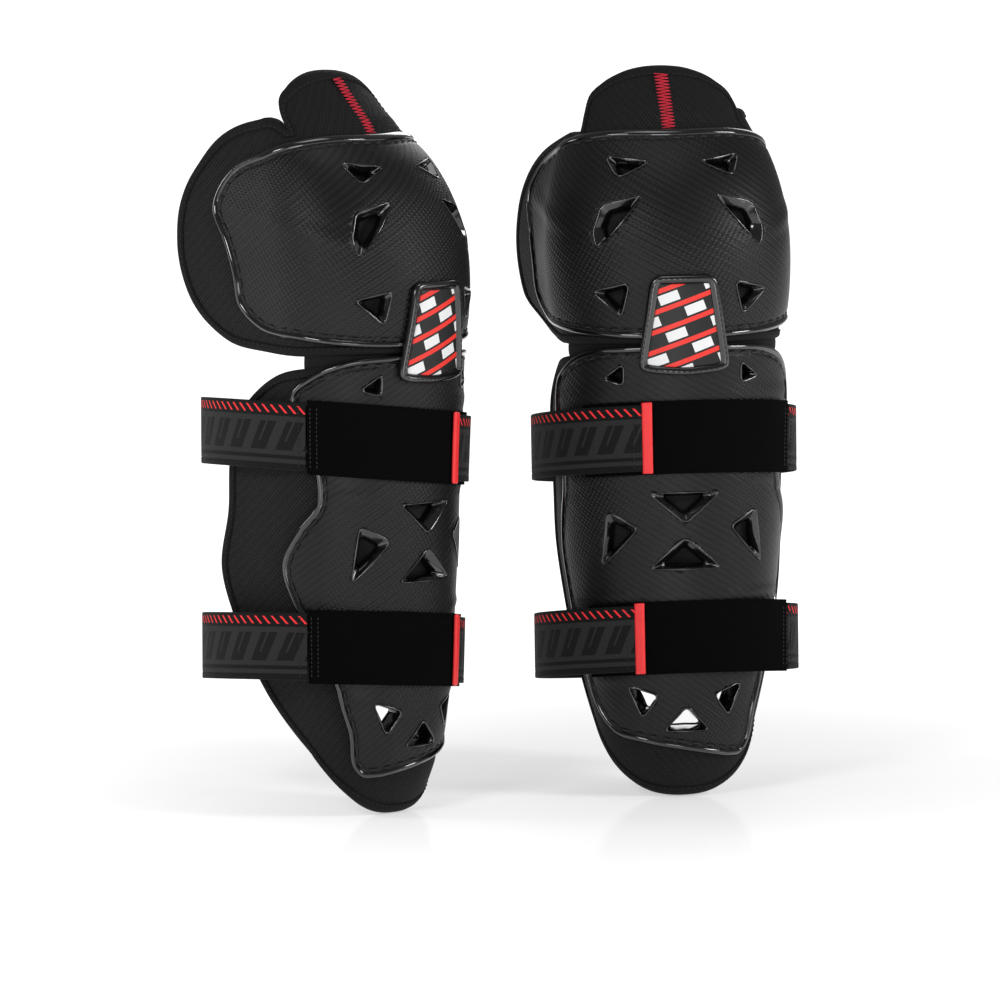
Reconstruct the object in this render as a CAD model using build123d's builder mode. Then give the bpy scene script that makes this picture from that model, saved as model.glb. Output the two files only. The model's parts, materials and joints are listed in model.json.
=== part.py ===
from build123d import *
import os
from math import cos, hypot, pi, radians, sin

# A pair of hard-shell knee and shin guards, standing side by side.
# Each guard is drawn once in its own frame: X across it, Y back from its foremost
# point and Z up from the tip of its tongue. The left leg's guard is that drawing, the
# right leg's is its mirror image, and both are then turned and set down on the floor.

os.makedirs("parts", exist_ok=True)

# ---- where each guard stands: x, y, z, roll about Y and turn about Z ----
# The origin is on the floor, under the middle of the left guard's strap loops.
LOOP_CENTRE = 80.0        # depth of the middle of the strap loops
LEFT_TURN = 7.5
STANDS = {
    "left": (LOOP_CENTRE * sin(radians(LEFT_TURN)), -LOOP_CENTRE * cos(radians(LEFT_TURN)),
             0.3, -1.0, LEFT_TURN),
    "right": (-143.9, -131.3, 0.0, 0.0, 50.5),
}

# ---- the face of the guard: height, half width, front depth, depth of the round ----
ROWS = [
    (-8, 40.3, 31.9, 38.2),
    (0, 42.5, 27.4, 39.2),
    (14, 45.7, 19.6, 41.2),
    (36, 50.5, 13.2, 45.1),
    (73, 57.6, 9.3, 50.0),
    (128, 64.7, 7.4, 54.9),
    (160, 67.7, 6.9, 55.9),
    (201, 69.8, 6.3, 56.8),
    (245, 71.4, 4.7, 56.8),
    (264, 70.4, 3.4, 57.0),
    (282, 70.6, 2.0, 57.8),
    (300, 73.9, 0.7, 59.8),
    (320, 75.6, 0.5, 60.8),
    (345, 75.6, 3.9, 60.3),
    (367, 73.1, 11.8, 58.8),
    (380, 70.1, 19.6, 54.9),
    (392, 66.1, 29.4, 49.0),
    (408, 59.1, 46.8, 41.7),
    (430, 52.1, 67.6, 36.3),
    (456, 44.2, 89.2, 32.3),
]
WING_END = 152.0          # how far back the sections run before they are trimmed
WING_FLARE = 10.0         # how far the inner wing leans out at its back edge
FLARE_FROM, FLARE_TO = 278.0, 305.0

# ---- layers, measured inwards from the shell's outer face ----
SHELL = (0.0, 2.6)
COVER = (2.9, 4.1)
FOAM = (4.3, 11.3)
LINING = (11.5, 12.7)
PAD = (COVER[0], LINING[1])
BADGE_FRAME = (-4.4, -0.4)
BADGE_FACE = (-2.8, -0.4)
BINDING_WIDTH = 4.0
SEAM_GAP = 0.3
BADGE_RIM = 4.5

# ---- the neck where the two pads meet ----
KNEE_PAD_BOTTOM, SHIN_PAD_TOP = 279.6, 271.8
GUSSET_HEIGHTS = (272.1, 279.3)
NECK_DEPTH = 44.0
NECK_BLOCK = (190.0, 120.0, 20.0)

# ---- outlines seen from the side, as depth and height; a run of points is a curve ----
KNEE_SHELL_SIDE = [
    [(-12, 284), (-12, 408), (57, 408)],
    [(57, 408), (79, 400), (105, 386.5), (112.5, 364), (102, 346), (94.5, 326), (91, 308),
     (77, 295), (45, 288.5), (8, 284)],
    [(8, 284), (-12, 284)],
]
KNEE_PAD_OUTER = [
    [(-12, KNEE_PAD_BOTTOM), (-12, 411), (66.5, 411)],
    [(66.5, 411), (80, 415.5), (103, 416), (126, 404), (141, 375), (142.5, 338),
     (132, 308), (107, 285.5), (74, KNEE_PAD_BOTTOM)],
    [(74, KNEE_PAD_BOTTOM), (-12, KNEE_PAD_BOTTOM)],
]
KNEE_PAD_INNER = [
    [(-12, KNEE_PAD_BOTTOM), (-12, 405), (66.5, 405)],
    [(66.5, 405), (84, 406.5), (103, 402), (124, 390), (140, 362), (142, 338),
     (132, 308), (107, 285.5), (74, KNEE_PAD_BOTTOM)],
    [(74, KNEE_PAD_BOTTOM), (-12, KNEE_PAD_BOTTOM)],
]
SHIN_SHELL_OUTER = [
    [(-12, 14), (-12, 279), (8, 279)],
    [(8, 279), (23, 276.5), (41, 268), (54, 256), (53, 243), (39.5, 208), (40, 191),
     (51, 176), (63.5, 152), (58, 132), (46, 108), (35.5, 82), (31, 52), (30, 14)],
    [(30, 14), (-12, 14)],
]
SHIN_SHELL_INNER = [
    [(-12, 14), (-12, 279), (8, 279)],
    [(8, 279), (23, 276.5), (41, 268), (54, 256), (55.5, 243), (51, 208), (52, 190),
     (58, 172), (63.5, 152), (60, 132), (54, 108), (47, 80), (42, 60), (38, 14)],
    [(38, 14), (-12, 14)],
]
SHIN_PAD_SIDE = [
    [(-12, 0), (-12, SHIN_PAD_TOP), (46, SHIN_PAD_TOP)],
    [(46, SHIN_PAD_TOP), (67, 267.5), (84, 257), (98, 241), (106, 215), (108.5, 185), (116.5, 148),
     (108, 115), (91, 77), (66, 45), (44, 18), (34, 3), (26, 0)],
    [(26, 0), (-12, 0)],
]

# ---- outlines seen from the front, as distance across and height ----
SHIN_SHELL_FRONT = [
    [(-85, 300), (-85, 90), (-60, 84)],
    [(-60, 84), (-55.5, 73), (-49.6, 52.5), (-42, 41), (-26, 35.5), (0, 30.5), (17.4, 27),
     (28.2, 25), (35.5, 25.8), (39.5, 31), (44.6, 53.3), (49.2, 69.8), (55, 84)],
    [(55, 84), (85, 90), (85, 300), (-85, 300)],
]
FLAP_FRONT = [
    [(-48.5, 396), (-48.5, 411)],
    [(-48.5, 411), (-44, 428), (-24, 442.5), (0, 446), (24, 442.5), (44, 428), (48.5, 411)],
    [(48.5, 411), (48.5, 396), (-48.5, 396)],
]
BADGE_FRONT = [(-20, 322.5), (20, 322.5), (27.5, 266.5), (22, 263), (0, 261), (-22, 263), (-27.5, 266.5)]
BADGE_CORNER = 3.0

# ---- vents: corners of the opening on one side of the middle, across and height ----
KNEE_VENTS = [
    [(15, 389.5), (41, 393), (36, 380.5)],
    [(22, 370), (46, 364), (52, 348), (50, 337.5)],
    [(32.7, 317.7), (53.6, 312.6), (37.2, 297.2)],
]
SHIN_VENTS = [
    [(36.3, 268.5), (48, 258.8), (36.2, 255.2)],
    [(46, 177.6), (28.5, 168), (49, 143.7)],
    [(35.2, 71), (17, 64.8), (26.6, 50.8)],
]
SHIN_MIDDLE_VENTS = [
    [(-22, 189.5), (22, 189.5), (0, 171)],
    [(-22.4, 142.8), (22.4, 142.8), (0, 162.2)],
    [(-14.2, 42.8), (14.2, 42.8), (0, 58.2)],
]
PAD_HOLES = [
    [(29.5, 69), (19, 66.2), (24.5, 56)],
    [(-29.5, 69), (-19, 66.2), (-24.5, 56)],
    [(-7.5, 47.6), (7.5, 47.6), (0, 56.8)],
]
VENT_CORNER = 1.5
CUT_REACH = 95.0

# ---- straps ----
STRAPS = {"upper": 223.5, "lower": 101.0}
STRAP_LEAN = {             # degrees that each strap's plane falls to the back and rises across
    ("left", "upper"): (8.0, 0.0),
    ("left", "lower"): (9.0, 0.0),
    ("right", "upper"): (0.4, 6.8),
    ("right", "lower"): (4.0, 6.6),
}
LOOP_HALF_WIDTH = 79.0
LOOP_FRONT = 68.0
LOOP_BACK = 78.0
LOOP_BLEND = 24           # sharpness of the change from shell to free loop
PANEL_HEIGHT, ELASTIC_HEIGHT, TAB_HEIGHT, PATCH_HEIGHT = 44.0, 40.0, 43.0, 36.0
PANEL_LIFT, PANEL_THICK = 0.4, 1.5
PATCH_LIFT, PATCH_THICK = 2.25, 0.6
END_LIFT, ELASTIC_THICK = 2.95, 1.4
TAB_THICK = 1.7
PANEL_SPAN = (-48.0, 61.0)           # degrees round the loop, 0 at the front
BAND_SPAN = (61.6, 267.6)
TAB_MIDDLE = {"upper": -17.0, "lower": -22.0}
TAB_ANGLE = 4.6
END_START = -90.6


def row_at(height):
    """Half width, front depth and round depth at any height, by a straight rule between rows."""
    for low, high in zip(ROWS, ROWS[1:]):
        if height <= high[0]:
            break
    share = (height - low[0]) / (high[0] - low[0])
    return tuple(a + share * (b - a) for a, b in zip(low[1:], high[1:]))


def ease(value):
    """Smooth step from 0 to 1."""
    value = min(max(value, 0.0), 1.0)
    return value * value * (3 - 2 * value)


def layer_points(height, inset):
    """One layer's line at a height: a half ellipse round the front and a wing each side."""
    width, front, depth = row_at(height)
    flare = WING_FLARE * ease((height - FLARE_FROM) / (FLARE_TO - FLARE_FROM))
    side = front + depth
    points = []
    for step in (1.0, 0.66, 0.33):
        back = side + step * (WING_END - side)
        points.append((-(width - inset) - flare * ease(step), back))
    for step in range(-6, 7):
        turn = step * pi / 12
        across = (width - inset) * sin(turn)
        points.append((across, front + inset + (depth - inset) * (1 - cos(turn))))
    for step in (0.33, 0.66, 1.0):
        points.append((width - inset, side + step * (WING_END - side)))
    return points


def layer(heights, limits):
    """The C-shaped sections of one layer, ready to be lofted."""
    sections = []
    for height in heights:
        outer = layer_points(height, limits[0])
        inner = layer_points(height, limits[1])
        with BuildSketch(Plane.XY.offset(height)) as section:
            with BuildLine():
                Spline(*outer)
                Line(outer[-1], inner[-1])
                Spline(*inner[::-1])
                Line(inner[0], outer[0])
            make_face()
        sections.append(section.sketch)
    return sections


def heights_between(low, high):
    """The table's own heights from low to high, with both ends."""
    return [low] + [row[0] for row in ROWS if low + 3 < row[0] < high - 3] + [high]


def drawn_in(outline, inset):
    """The outline's points moved inwards, each along the line that halves its corner."""
    ring = [point for run in outline for point in run[:-1]]
    area = sum(a[0] * b[1] - b[0] * a[1] for a, b in zip(ring, ring[1:] + ring[:1]))
    side = 1 if area > 0 else -1
    moved = []
    for before, point, after in zip(ring[-1:] + ring, ring, ring[1:] + ring[:1]):
        normals = []
        for start, end in ((before, point), (point, after)):
            run, rise = end[0] - start[0], end[1] - start[1]
            normals.append((-rise / hypot(run, rise) * side, run / hypot(run, rise) * side))
        (ax, ay), (bx, by) = normals
        share = inset / (1 + ax * bx + ay * by)
        moved.append((point[0] + (ax + bx) * share, point[1] + (ay + by) * share))
    moved.append(moved[0])
    runs, first = [], 0
    for run in outline:
        runs.append(moved[first:first + len(run)])
        first += len(run) - 1
    return runs


def outline_face(plane, outline, inset=0.0):
    """A flat face with the given outline, drawn in by an inset."""
    with BuildSketch(plane) as face:
        with BuildLine():
            for run in drawn_in(outline, inset) if inset else outline:
                if len(run) > 4:
                    Spline(*run)
                else:
                    Polyline(*run)
        make_face()
    return face.sketch


def side_trim(outer, inner, inset=0.0):
    """A block with one outline on the outer side of the leg and one on the inner side."""
    with BuildPart() as trim:
        extrude(outline_face(Plane.YZ, outer, inset), amount=CUT_REACH)
        extrude(outline_face(Plane.YZ, inner, inset), amount=-CUT_REACH)
    return trim.part


def front_trim(outline, inset=0.0):
    """A block with one outline seen from the front."""
    with BuildPart() as trim:
        extrude(outline_face(Plane.XZ, outline, inset), amount=CUT_REACH + 20, both=True)
    return trim.part


def vent_cutter(corner_lists):
    """Straight-sided blocks, one for each opening, with their corners rounded."""
    with BuildPart() as cutter:
        with BuildSketch(Plane.XZ) as openings:
            for corners in corner_lists:
                with BuildLine():
                    Polyline(*corners, close=True)
                make_face()
            fillet(openings.vertices(), radius=VENT_CORNER)
        extrude(amount=CUT_REACH, both=True)
    return cutter.part


def mirrored(corner_lists):
    """The same openings on both sides of the middle."""
    return corner_lists + [[(-x, z) for x, z in corners] for corners in corner_lists]


pieces = {}


def keep(name, builder):
    """Store a finished piece of the guard under its own name."""
    pieces[name] = builder.part


# ---- hard shells ----
knee_shell_trim = side_trim(KNEE_SHELL_SIDE, KNEE_SHELL_SIDE)
knee_vents = vent_cutter(mirrored(KNEE_VENTS))
with BuildPart() as knee_shell:
    loft(layer(heights_between(282, 420), SHELL), ruled=True)
    add(knee_shell_trim, mode=Mode.INTERSECT)
    add(knee_vents, mode=Mode.SUBTRACT)
keep("knee_shell", knee_shell)

shin_shell_trim = side_trim(SHIN_SHELL_OUTER, SHIN_SHELL_INNER)
shin_shell_front = front_trim(SHIN_SHELL_FRONT)
shin_vents = vent_cutter(mirrored(SHIN_VENTS) + SHIN_MIDDLE_VENTS)
with BuildPart() as shin_shell:
    loft(layer(heights_between(14, 282), SHELL), ruled=True)
    add(shin_shell_trim, mode=Mode.INTERSECT)
    add(shin_shell_front, mode=Mode.INTERSECT)
    add(shin_vents, mode=Mode.SUBTRACT)
keep("shin_shell", shin_shell)


# ---- the padded body: cover, foam and lining, bound all round its edge ----
def neck_block(height, upright, mode=Mode.ADD):
    """A block in front of the neck's back edge, above, below or about a height."""
    with Locations((0, NECK_DEPTH - NECK_BLOCK[1] / 2, height)):
        Box(*NECK_BLOCK, align=(Align.CENTER, Align.CENTER, upright), mode=mode)


def knee_trim(inset):
    """The knee pad's wings and its top flap together, drawn in from the edge."""
    wings = side_trim(KNEE_PAD_OUTER, KNEE_PAD_INNER, inset)
    flap = front_trim(FLAP_FRONT, inset)
    with BuildPart() as trim:
        add(wings)
        add(flap)
        if inset:
            neck_block(KNEE_PAD_BOTTOM, Align.MIN)
    return trim.part


def shin_trim(inset):
    """The shin pad's outline, drawn in from the edge but not at its neck."""
    wings = side_trim(SHIN_PAD_SIDE, SHIN_PAD_SIDE, inset)
    with BuildPart() as trim:
        add(wings)
        if inset:
            neck_block(SHIN_PAD_TOP, Align.MAX)
    return trim.part


pad_holes = vent_cutter(PAD_HOLES)
pads = {
    "knee": (heights_between(278, 452), knee_trim),
    "shin": (heights_between(-6, 273), shin_trim),
}
for area, (heights, trim_for) in pads.items():
    whole = trim_for(0.0)
    rim_inside = trim_for(BINDING_WIDTH)
    middle = trim_for(BINDING_WIDTH + SEAM_GAP)
    for name, limits in (("cover", COVER), ("foam", FOAM), ("lining", LINING)):
        with BuildPart() as sheet:
            loft(layer(heights, limits), ruled=True)
            add(middle, mode=Mode.INTERSECT)
            if area == "shin":
                add(pad_holes, mode=Mode.SUBTRACT)
        keep(f"{area}_{name}", sheet)
    with BuildPart() as binding:
        loft(layer(heights, PAD), ruled=True)
        add(whole, mode=Mode.INTERSECT)
        add(rim_inside, mode=Mode.SUBTRACT)
    keep(f"{area}_binding", binding)

with BuildPart() as knee_gusset:
    loft(layer(GUSSET_HEIGHTS, PAD), ruled=True)
    neck_block(sum(GUSSET_HEIGHTS) / 2, Align.CENTER, Mode.INTERSECT)
keep("knee_gusset", knee_gusset)


# ---- the badge that bridges the two shells ----
def badge_outline(inset):
    """The badge's rounded trapezium, drawn in by an inset."""
    with BuildPart() as trim:
        with BuildSketch(Plane.XZ) as face:
            with BuildLine():
                Polyline(*BADGE_FRONT, close=True)
            make_face()
            fillet(face.vertices(), radius=BADGE_CORNER)
            if inset:
                offset(amount=-inset)
        extrude(amount=CUT_REACH, both=True)
    return trim.part


badge_heights = [255, 264, 282, 300, 320, 330]
badge_whole = badge_outline(0)
badge_hollow = badge_outline(BADGE_RIM)
badge_middle = badge_outline(BADGE_RIM + SEAM_GAP)
with BuildPart() as badge_frame:
    loft(layer(badge_heights, BADGE_FRAME), ruled=True)
    add(badge_whole, mode=Mode.INTERSECT)
    add(badge_hollow, mode=Mode.SUBTRACT)
keep("badge_frame", badge_frame)

with BuildPart() as badge_face:
    loft(layer(badge_heights, BADGE_FACE), ruled=True)
    add(badge_middle, mode=Mode.INTERSECT)
keep("badge_face", badge_face)


# ---- straps: an elastic loop sewn to a loop-pile panel, and its free end ----
def loop_point(angle, lift, height):
    """A point of the strap: over the shell at the front, and a free oval elsewhere."""
    width, front, depth = row_at(height)
    turn = radians(angle)
    across, along = sin(turn), cos(turn)
    wide, deep = width + lift, depth + lift
    ahead = LOOP_CENTRE - front - depth
    square = (across / wide) ** 2 + (along / deep) ** 2
    linear = ahead * along / deep ** 2
    rest = (ahead / deep) ** 2 - 1
    on_shell = (linear + (linear ** 2 - square * rest) ** 0.5) / square
    free_depth = LOOP_FRONT if along > 0 else LOOP_BACK
    free = 1 / hypot(across / (LOOP_HALF_WIDTH + lift), along / (free_depth + lift))
    reach = (on_shell ** LOOP_BLEND + free ** LOOP_BLEND) ** (1 / LOOP_BLEND)
    return reach * across, LOOP_CENTRE - reach * along


def strap_normal(fall, climb):
    """The unit normal of a strap's plane that falls to the back and rises across."""
    normal = Vector(-sin(climb) * cos(fall), cos(climb) * sin(fall), cos(climb) * cos(fall))
    return normal.normalized()


def strip(span, lifts, thick, tall, middle, lean):
    """Two sections of a strip, at its lower and upper edge, in planes that lean together."""
    count = max(3, round((span[1] - span[0]) / 11))
    front = row_at(middle)[1]
    fall, climb = (radians(angle) for angle in lean)
    normal = strap_normal(fall, climb)
    across = Vector(cos(climb), 0, sin(climb))
    back = normal.cross(across)
    sections = []
    for edge in (-tall / 2, tall / 2):
        lines = []
        for extra in (0.0, thick):
            points = []
            for step in range(count + 1):
                share = step / count
                angle = span[0] + share * (span[1] - span[0])
                lift = lifts[0] + share * (lifts[1] - lifts[0]) + extra
                height = middle + edge
                for _ in range(3):
                    x, y = loop_point(angle, lift, height)
                    height = middle + (edge - x * normal.X - (y - front) * normal.Y) / normal.Z
                away = Vector(x, y - front, height - middle)
                points.append((away.dot(across), away.dot(back)))
            lines.append(points)
        plane = Plane(origin=(0, front, middle), x_dir=across, z_dir=normal).offset(edge)
        inner, outer = lines
        with BuildSketch(plane) as section:
            with BuildLine():
                Spline(*outer)
                Line(outer[-1], inner[-1])
                Spline(*inner[::-1])
                Line(inner[0], outer[0])
            make_face()
        sections.append(section.sketch)
    return sections


def strap_strips(level, lean):
    """Every strip of one strap: name, and the two sections it is lofted between."""
    middle = STRAPS[level]
    tab = TAB_MIDDLE[level]
    tab_start, tab_end = tab - TAB_ANGLE / 2, tab + TAB_ANGLE / 2
    shapes = {
        "loop_panel": (PANEL_SPAN, (PANEL_LIFT,) * 2, PANEL_THICK, PANEL_HEIGHT),
        "band": (BAND_SPAN, (PANEL_LIFT, END_LIFT), ELASTIC_THICK, ELASTIC_HEIGHT),
        "free_end": ((END_START, tab_start - 0.3), (END_LIFT,) * 2, ELASTIC_THICK, ELASTIC_HEIGHT),
        "hook_patch": ((-44.0, tab_start - 1), (PATCH_LIFT,) * 2, PATCH_THICK, PATCH_HEIGHT),
        "end_tab": ((tab_start, tab_end), (END_LIFT,) * 2, TAB_THICK, TAB_HEIGHT),
    }
    return {
        name: strip(span, lifts, thick, tall, middle, lean)
        for name, (span, lifts, thick, tall) in shapes.items()
    }


def write(side, name, shape):
    """Turn a piece over for the right leg, set it where its guard stands and export it."""
    x, y, z, roll, turn = STANDS[side]
    if side == "right":
        shape = shape.mirror(Plane.YZ)
    with BuildPart() as piece:
        with Locations(Location((x, y, z), (0, roll, turn), Extrinsic.XYZ)):
            add(shape)
    piece.part.label = f"{side}_{name}"
    export_step(piece.part, f"parts/{side}_{name}.step")


for side in STANDS:
    for name, shape in pieces.items():
        write(side, name, shape)
    for level in STRAPS:
        for name, sections in strap_strips(level, STRAP_LEAN[side, level]).items():
            with BuildPart() as strap_piece:
                loft(sections, ruled=True)
            write(side, f"{level}_{name}", strap_piece.part)
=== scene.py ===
import json
from math import pi, radians

import bmesh
import bpy
import numpy as np
from mathutils import Matrix, Vector


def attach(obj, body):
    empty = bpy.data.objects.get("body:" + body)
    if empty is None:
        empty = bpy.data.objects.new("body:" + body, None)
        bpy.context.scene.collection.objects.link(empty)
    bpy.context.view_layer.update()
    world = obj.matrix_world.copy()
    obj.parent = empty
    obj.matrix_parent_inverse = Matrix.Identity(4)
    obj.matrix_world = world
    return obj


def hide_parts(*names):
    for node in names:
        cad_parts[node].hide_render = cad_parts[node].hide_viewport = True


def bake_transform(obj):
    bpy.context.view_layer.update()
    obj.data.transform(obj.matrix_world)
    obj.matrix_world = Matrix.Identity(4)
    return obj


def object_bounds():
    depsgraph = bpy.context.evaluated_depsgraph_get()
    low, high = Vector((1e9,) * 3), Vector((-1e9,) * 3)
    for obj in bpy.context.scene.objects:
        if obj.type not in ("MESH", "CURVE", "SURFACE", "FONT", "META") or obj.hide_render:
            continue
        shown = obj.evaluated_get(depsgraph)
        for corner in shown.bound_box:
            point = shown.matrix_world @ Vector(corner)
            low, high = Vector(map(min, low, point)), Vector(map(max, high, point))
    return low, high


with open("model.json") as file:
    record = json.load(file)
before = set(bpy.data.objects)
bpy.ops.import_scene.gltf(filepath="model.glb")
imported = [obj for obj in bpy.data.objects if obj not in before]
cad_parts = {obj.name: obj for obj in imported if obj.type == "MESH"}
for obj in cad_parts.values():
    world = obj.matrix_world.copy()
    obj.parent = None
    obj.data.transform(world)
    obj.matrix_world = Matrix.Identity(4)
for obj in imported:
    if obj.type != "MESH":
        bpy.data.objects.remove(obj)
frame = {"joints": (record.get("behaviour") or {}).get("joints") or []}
CAD_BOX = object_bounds()

bl_info = {
    "name": "Knee and shin guards",
    "version": (1, 0, 0),
    "blender": (4, 5, 0),
    "location": "View3D > Sidebar > Guards",
    "description": "Builds a pair of hard-shell knee and shin guards around a packed frame",
    "category": "Object",
}

# Each guard is drawn once, in millimetres, in its own frame: X across it, Y back from
# its foremost point, Z up from the tip of its tongue. The drawing is the guard of the
# wearer's left leg; the right one is its mirror image.
MM = 0.001
SIDES = ("left", "right")
LEVELS = {"upper": 223.5, "lower": 101.0}
KNEE_PIVOT = (0.0, 6.0, 281.5)

# ---- the face of the guard: height, half width, front depth, depth of the round ----
ROWS = np.array([
    (-8, 40.3, 31.9, 38.2), (0, 42.5, 27.4, 39.2), (14, 45.7, 19.6, 41.2),
    (36, 50.5, 13.2, 45.1), (73, 57.6, 9.3, 50.0), (128, 64.7, 7.4, 54.9),
    (160, 67.7, 6.9, 55.9), (201, 69.8, 6.3, 56.8), (245, 71.4, 4.7, 56.8),
    (264, 70.4, 3.4, 57.0), (282, 70.6, 2.0, 57.8), (300, 73.9, 0.7, 59.8),
    (320, 75.6, 0.5, 60.8), (345, 75.6, 3.9, 60.3), (367, 73.1, 11.8, 58.8),
    (380, 70.1, 19.6, 54.9), (392, 66.1, 29.4, 49.0), (408, 59.1, 46.8, 41.7),
    (430, 52.1, 67.6, 36.3), (456, 44.2, 89.2, 32.3),
], float)
SLOPES = np.gradient(ROWS[:, 1:], ROWS[:, 0], axis=0)
QUARTER = 100.0
WING_END, WING_FLARE = 152.0, 10.0
FLARE_FROM, FLARE_TO = 278.0, 305.0

SHELL_IN, COVER_OUT, FOAM_IN = 2.6, 2.9, 11.3

# ---- how surfaces are drawn ----
POLE_SHARE = 0.04
CORNER_SHARE = 0.4
NORMAL_STEP = 0.25
SWELL_PRESSURE, SWELL_FRAMES, SWELL_CAP = 4.0, 20, 1.6

# ---- outlines: (depth, height) on a side, (across, height) on the front ----
KNEE_SHELL_SIDE = [
    (57, 408), (79, 400), (105, 386.5), (112.5, 364), (102, 346), (94.5, 326), (91, 308),
    (77, 295), (45, 288.5), (8, 284),
]
KNEE_PAD_OUTER = [
    (80, 415.5), (103, 416), (126, 404), (141, 375), (142.5, 338), (132, 308),
    (107, 285.5), (74, 279.6),
]
KNEE_PAD_INNER = [
    (84, 406.5), (103, 402), (124, 390), (140, 362), (142, 338), (132, 308),
    (107, 285.5), (74, 279.6),
]
FLAP_FRONT = [(48.2, 417), (44, 428), (35.5, 436.5), (24, 442.5), (0, 446)]
SHIN_SHELL_OUTER = [
    (8, 279), (23, 276.5), (41, 268), (54, 256), (53, 243), (39.5, 208), (40, 191),
    (51, 176), (63.5, 152), (58, 132), (46, 108), (35.5, 82),
]
SHIN_SHELL_INNER = [
    (8, 279), (23, 276.5), (41, 268), (54, 256), (55.5, 243), (51, 208), (52, 190),
    (58, 172), (63.5, 152), (60, 132), (54, 108), (47, 80),
]
SHIN_SHELL_TIP = [
    (49.2, 69.8), (44.6, 53.3), (39.5, 31), (35.5, 25.8), (28.2, 25), (17.4, 27), (0, 30.5),
    (-26, 35.5), (-42, 41), (-49.6, 52.5), (-55.5, 73),
]
SHIN_PAD_SIDE = [
    (46, 271.8), (67, 267.5), (84, 257), (98, 241), (106, 215), (108.5, 185),
    (116.5, 148), (108, 115), (91, 77), (66, 45), (44, 18), (34, 3),
]
BADGE_FRONT = [
    (-20, 322.5), (20, 322.5), (27.5, 266.5), (22, 263), (0, 261), (-22, 263), (-27.5, 266.5),
]
KNEE_VENTS = [
    [(15, 389.5), (41, 393), (36, 380.5)],
    [(22, 370), (46, 364), (52, 348), (50, 337.5)],
    [(32.7, 317.7), (53.6, 312.6), (37.2, 297.2)],
]
SHIN_VENTS = [
    [(36.3, 268.5), (48, 258.8), (36.2, 255.2)],
    [(46, 177.6), (28.5, 168), (49, 143.7)],
]
SHIN_MIDDLE_VENTS = [
    [(-22, 189.5), (22, 189.5), (0, 171)],
    [(-22.4, 142.8), (22.4, 142.8), (0, 162.2)],
]
THROUGH_VENTS = [
    [(35.2, 71), (17, 64.8), (26.6, 50.8)],
    [(-35.2, 71), (-17, 64.8), (-26.6, 50.8)],
    [(-14.2, 42.8), (14.2, 42.8), (0, 58.2)],
]

# ---- straps: one oval loop each, over the shell at the front ----
LOOP_CENTRE = 80.0
LOOP_HALF_WIDTH, LOOP_FRONT, LOOP_BACK, LOOP_BLEND = 79.0, 68.0, 78.0, 24
PANEL_SPAN = (-48.0, 61.0)
BAND_SPAN = (61.6, 250.0)
BAND_WHOLE = (61.6, 267.6)
END_FROM = -110.0
BAND_LIFTS = (0.4, 2.95)
TAB_MIDDLE = {"upper": -17.0, "lower": -22.0}
TAB_ANGLE = 4.6
PATCH_FROM = -44.0
FREE_BEND = (-103.0, -84.0)
PANEL_LIFT, PATCH_LIFT, TAB_LIFT, BEND_LIFT = 0.4, 2.25, 2.6, 3.6
# sections: thickness, height; ribs: height, reach, depth of a groove
PANEL_SECTION, ELASTIC_SECTION = (1.5, 44.0), (1.4, 40.0)
PATCH_SECTION, TAB_SECTION = (0.6, 36.0), (2.3, 43.0)
PANEL_RIBS = [(20.6, 0.7, 0.35), (-20.6, 0.7, 0.35)]
ELASTIC_RIBS = [(11.6, 0.5, 0.3), (-11.2, 0.5, 0.3), (-13.8, 0.5, 0.3), (-16.2, 0.5, 0.3)]
TAB_RIBS = [(-18.5, 0.6, 0.22), (18.5, 0.6, 0.22)]

# ---- stitches: distance in from the edge, layer inset, share of the pitch, radius ----
SHELL_STITCH = (5.1, 0.35, 0.66, 0.75)
PAD_STITCH = (4.6, 2.15, 0.6, 0.28)
BADGE_STITCH, BADGE_PITCH = (2.3, -4.55, 0.62, 0.3), 3.4
STRAP_STITCH_LENGTH, STRAP_STITCH_PITCH, STRAP_STITCH_RADIUS = 1.7, 2.6, 0.32
SEAM_SPAN, SEAM_HALF, SEAM_STEP, SEAM_RADIUS, SEAM_DIP = (409.0, 442.0), 4.2, 0.95, 0.46, 0.15


# ============ surfaces ============
def ease(value):
    """Smooth step: 3v^2 - 2v^3 between 0 and 1."""
    v = np.clip(value, 0.0, 1.0)
    return v * v * (3 - 2 * v)


def bump(value, middle, reach):
    """A smooth hill of height 1 at the middle that ends at the reach on each side."""
    return ease(1 - np.abs(value - middle) / reach)


def hermite(low, high, low_turn, high_turn, u):
    """The cubic Hermite curve from low to high, with their slopes over the whole step."""
    ends = low * (1 + 2 * u) * (1 - u) ** 2 + high * u * u * (3 - 2 * u)
    return ends + low_turn * u * (1 - u) ** 2 - high_turn * u * u * (1 - u)


def body_at(z):
    """Half width, front depth and round depth at heights z.

    Cubic Hermite curves through the rows, with central differences as their slopes.
    """
    z = np.clip(np.asarray(z, float), ROWS[0, 0], ROWS[-1, 0])
    i = np.clip(np.searchsorted(ROWS[:, 0], z, side="right") - 1, 0, len(ROWS) - 2)
    low, high = ROWS[i], ROWS[i + 1]
    step = (high[..., 0] - low[..., 0])[..., None]
    u = (z - low[..., 0])[..., None] / step
    rows = hermite(low[..., 1:], high[..., 1:], step * SLOPES[i], step * SLOPES[i + 1], u)
    return np.moveaxis(rows, -1, 0)


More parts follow.
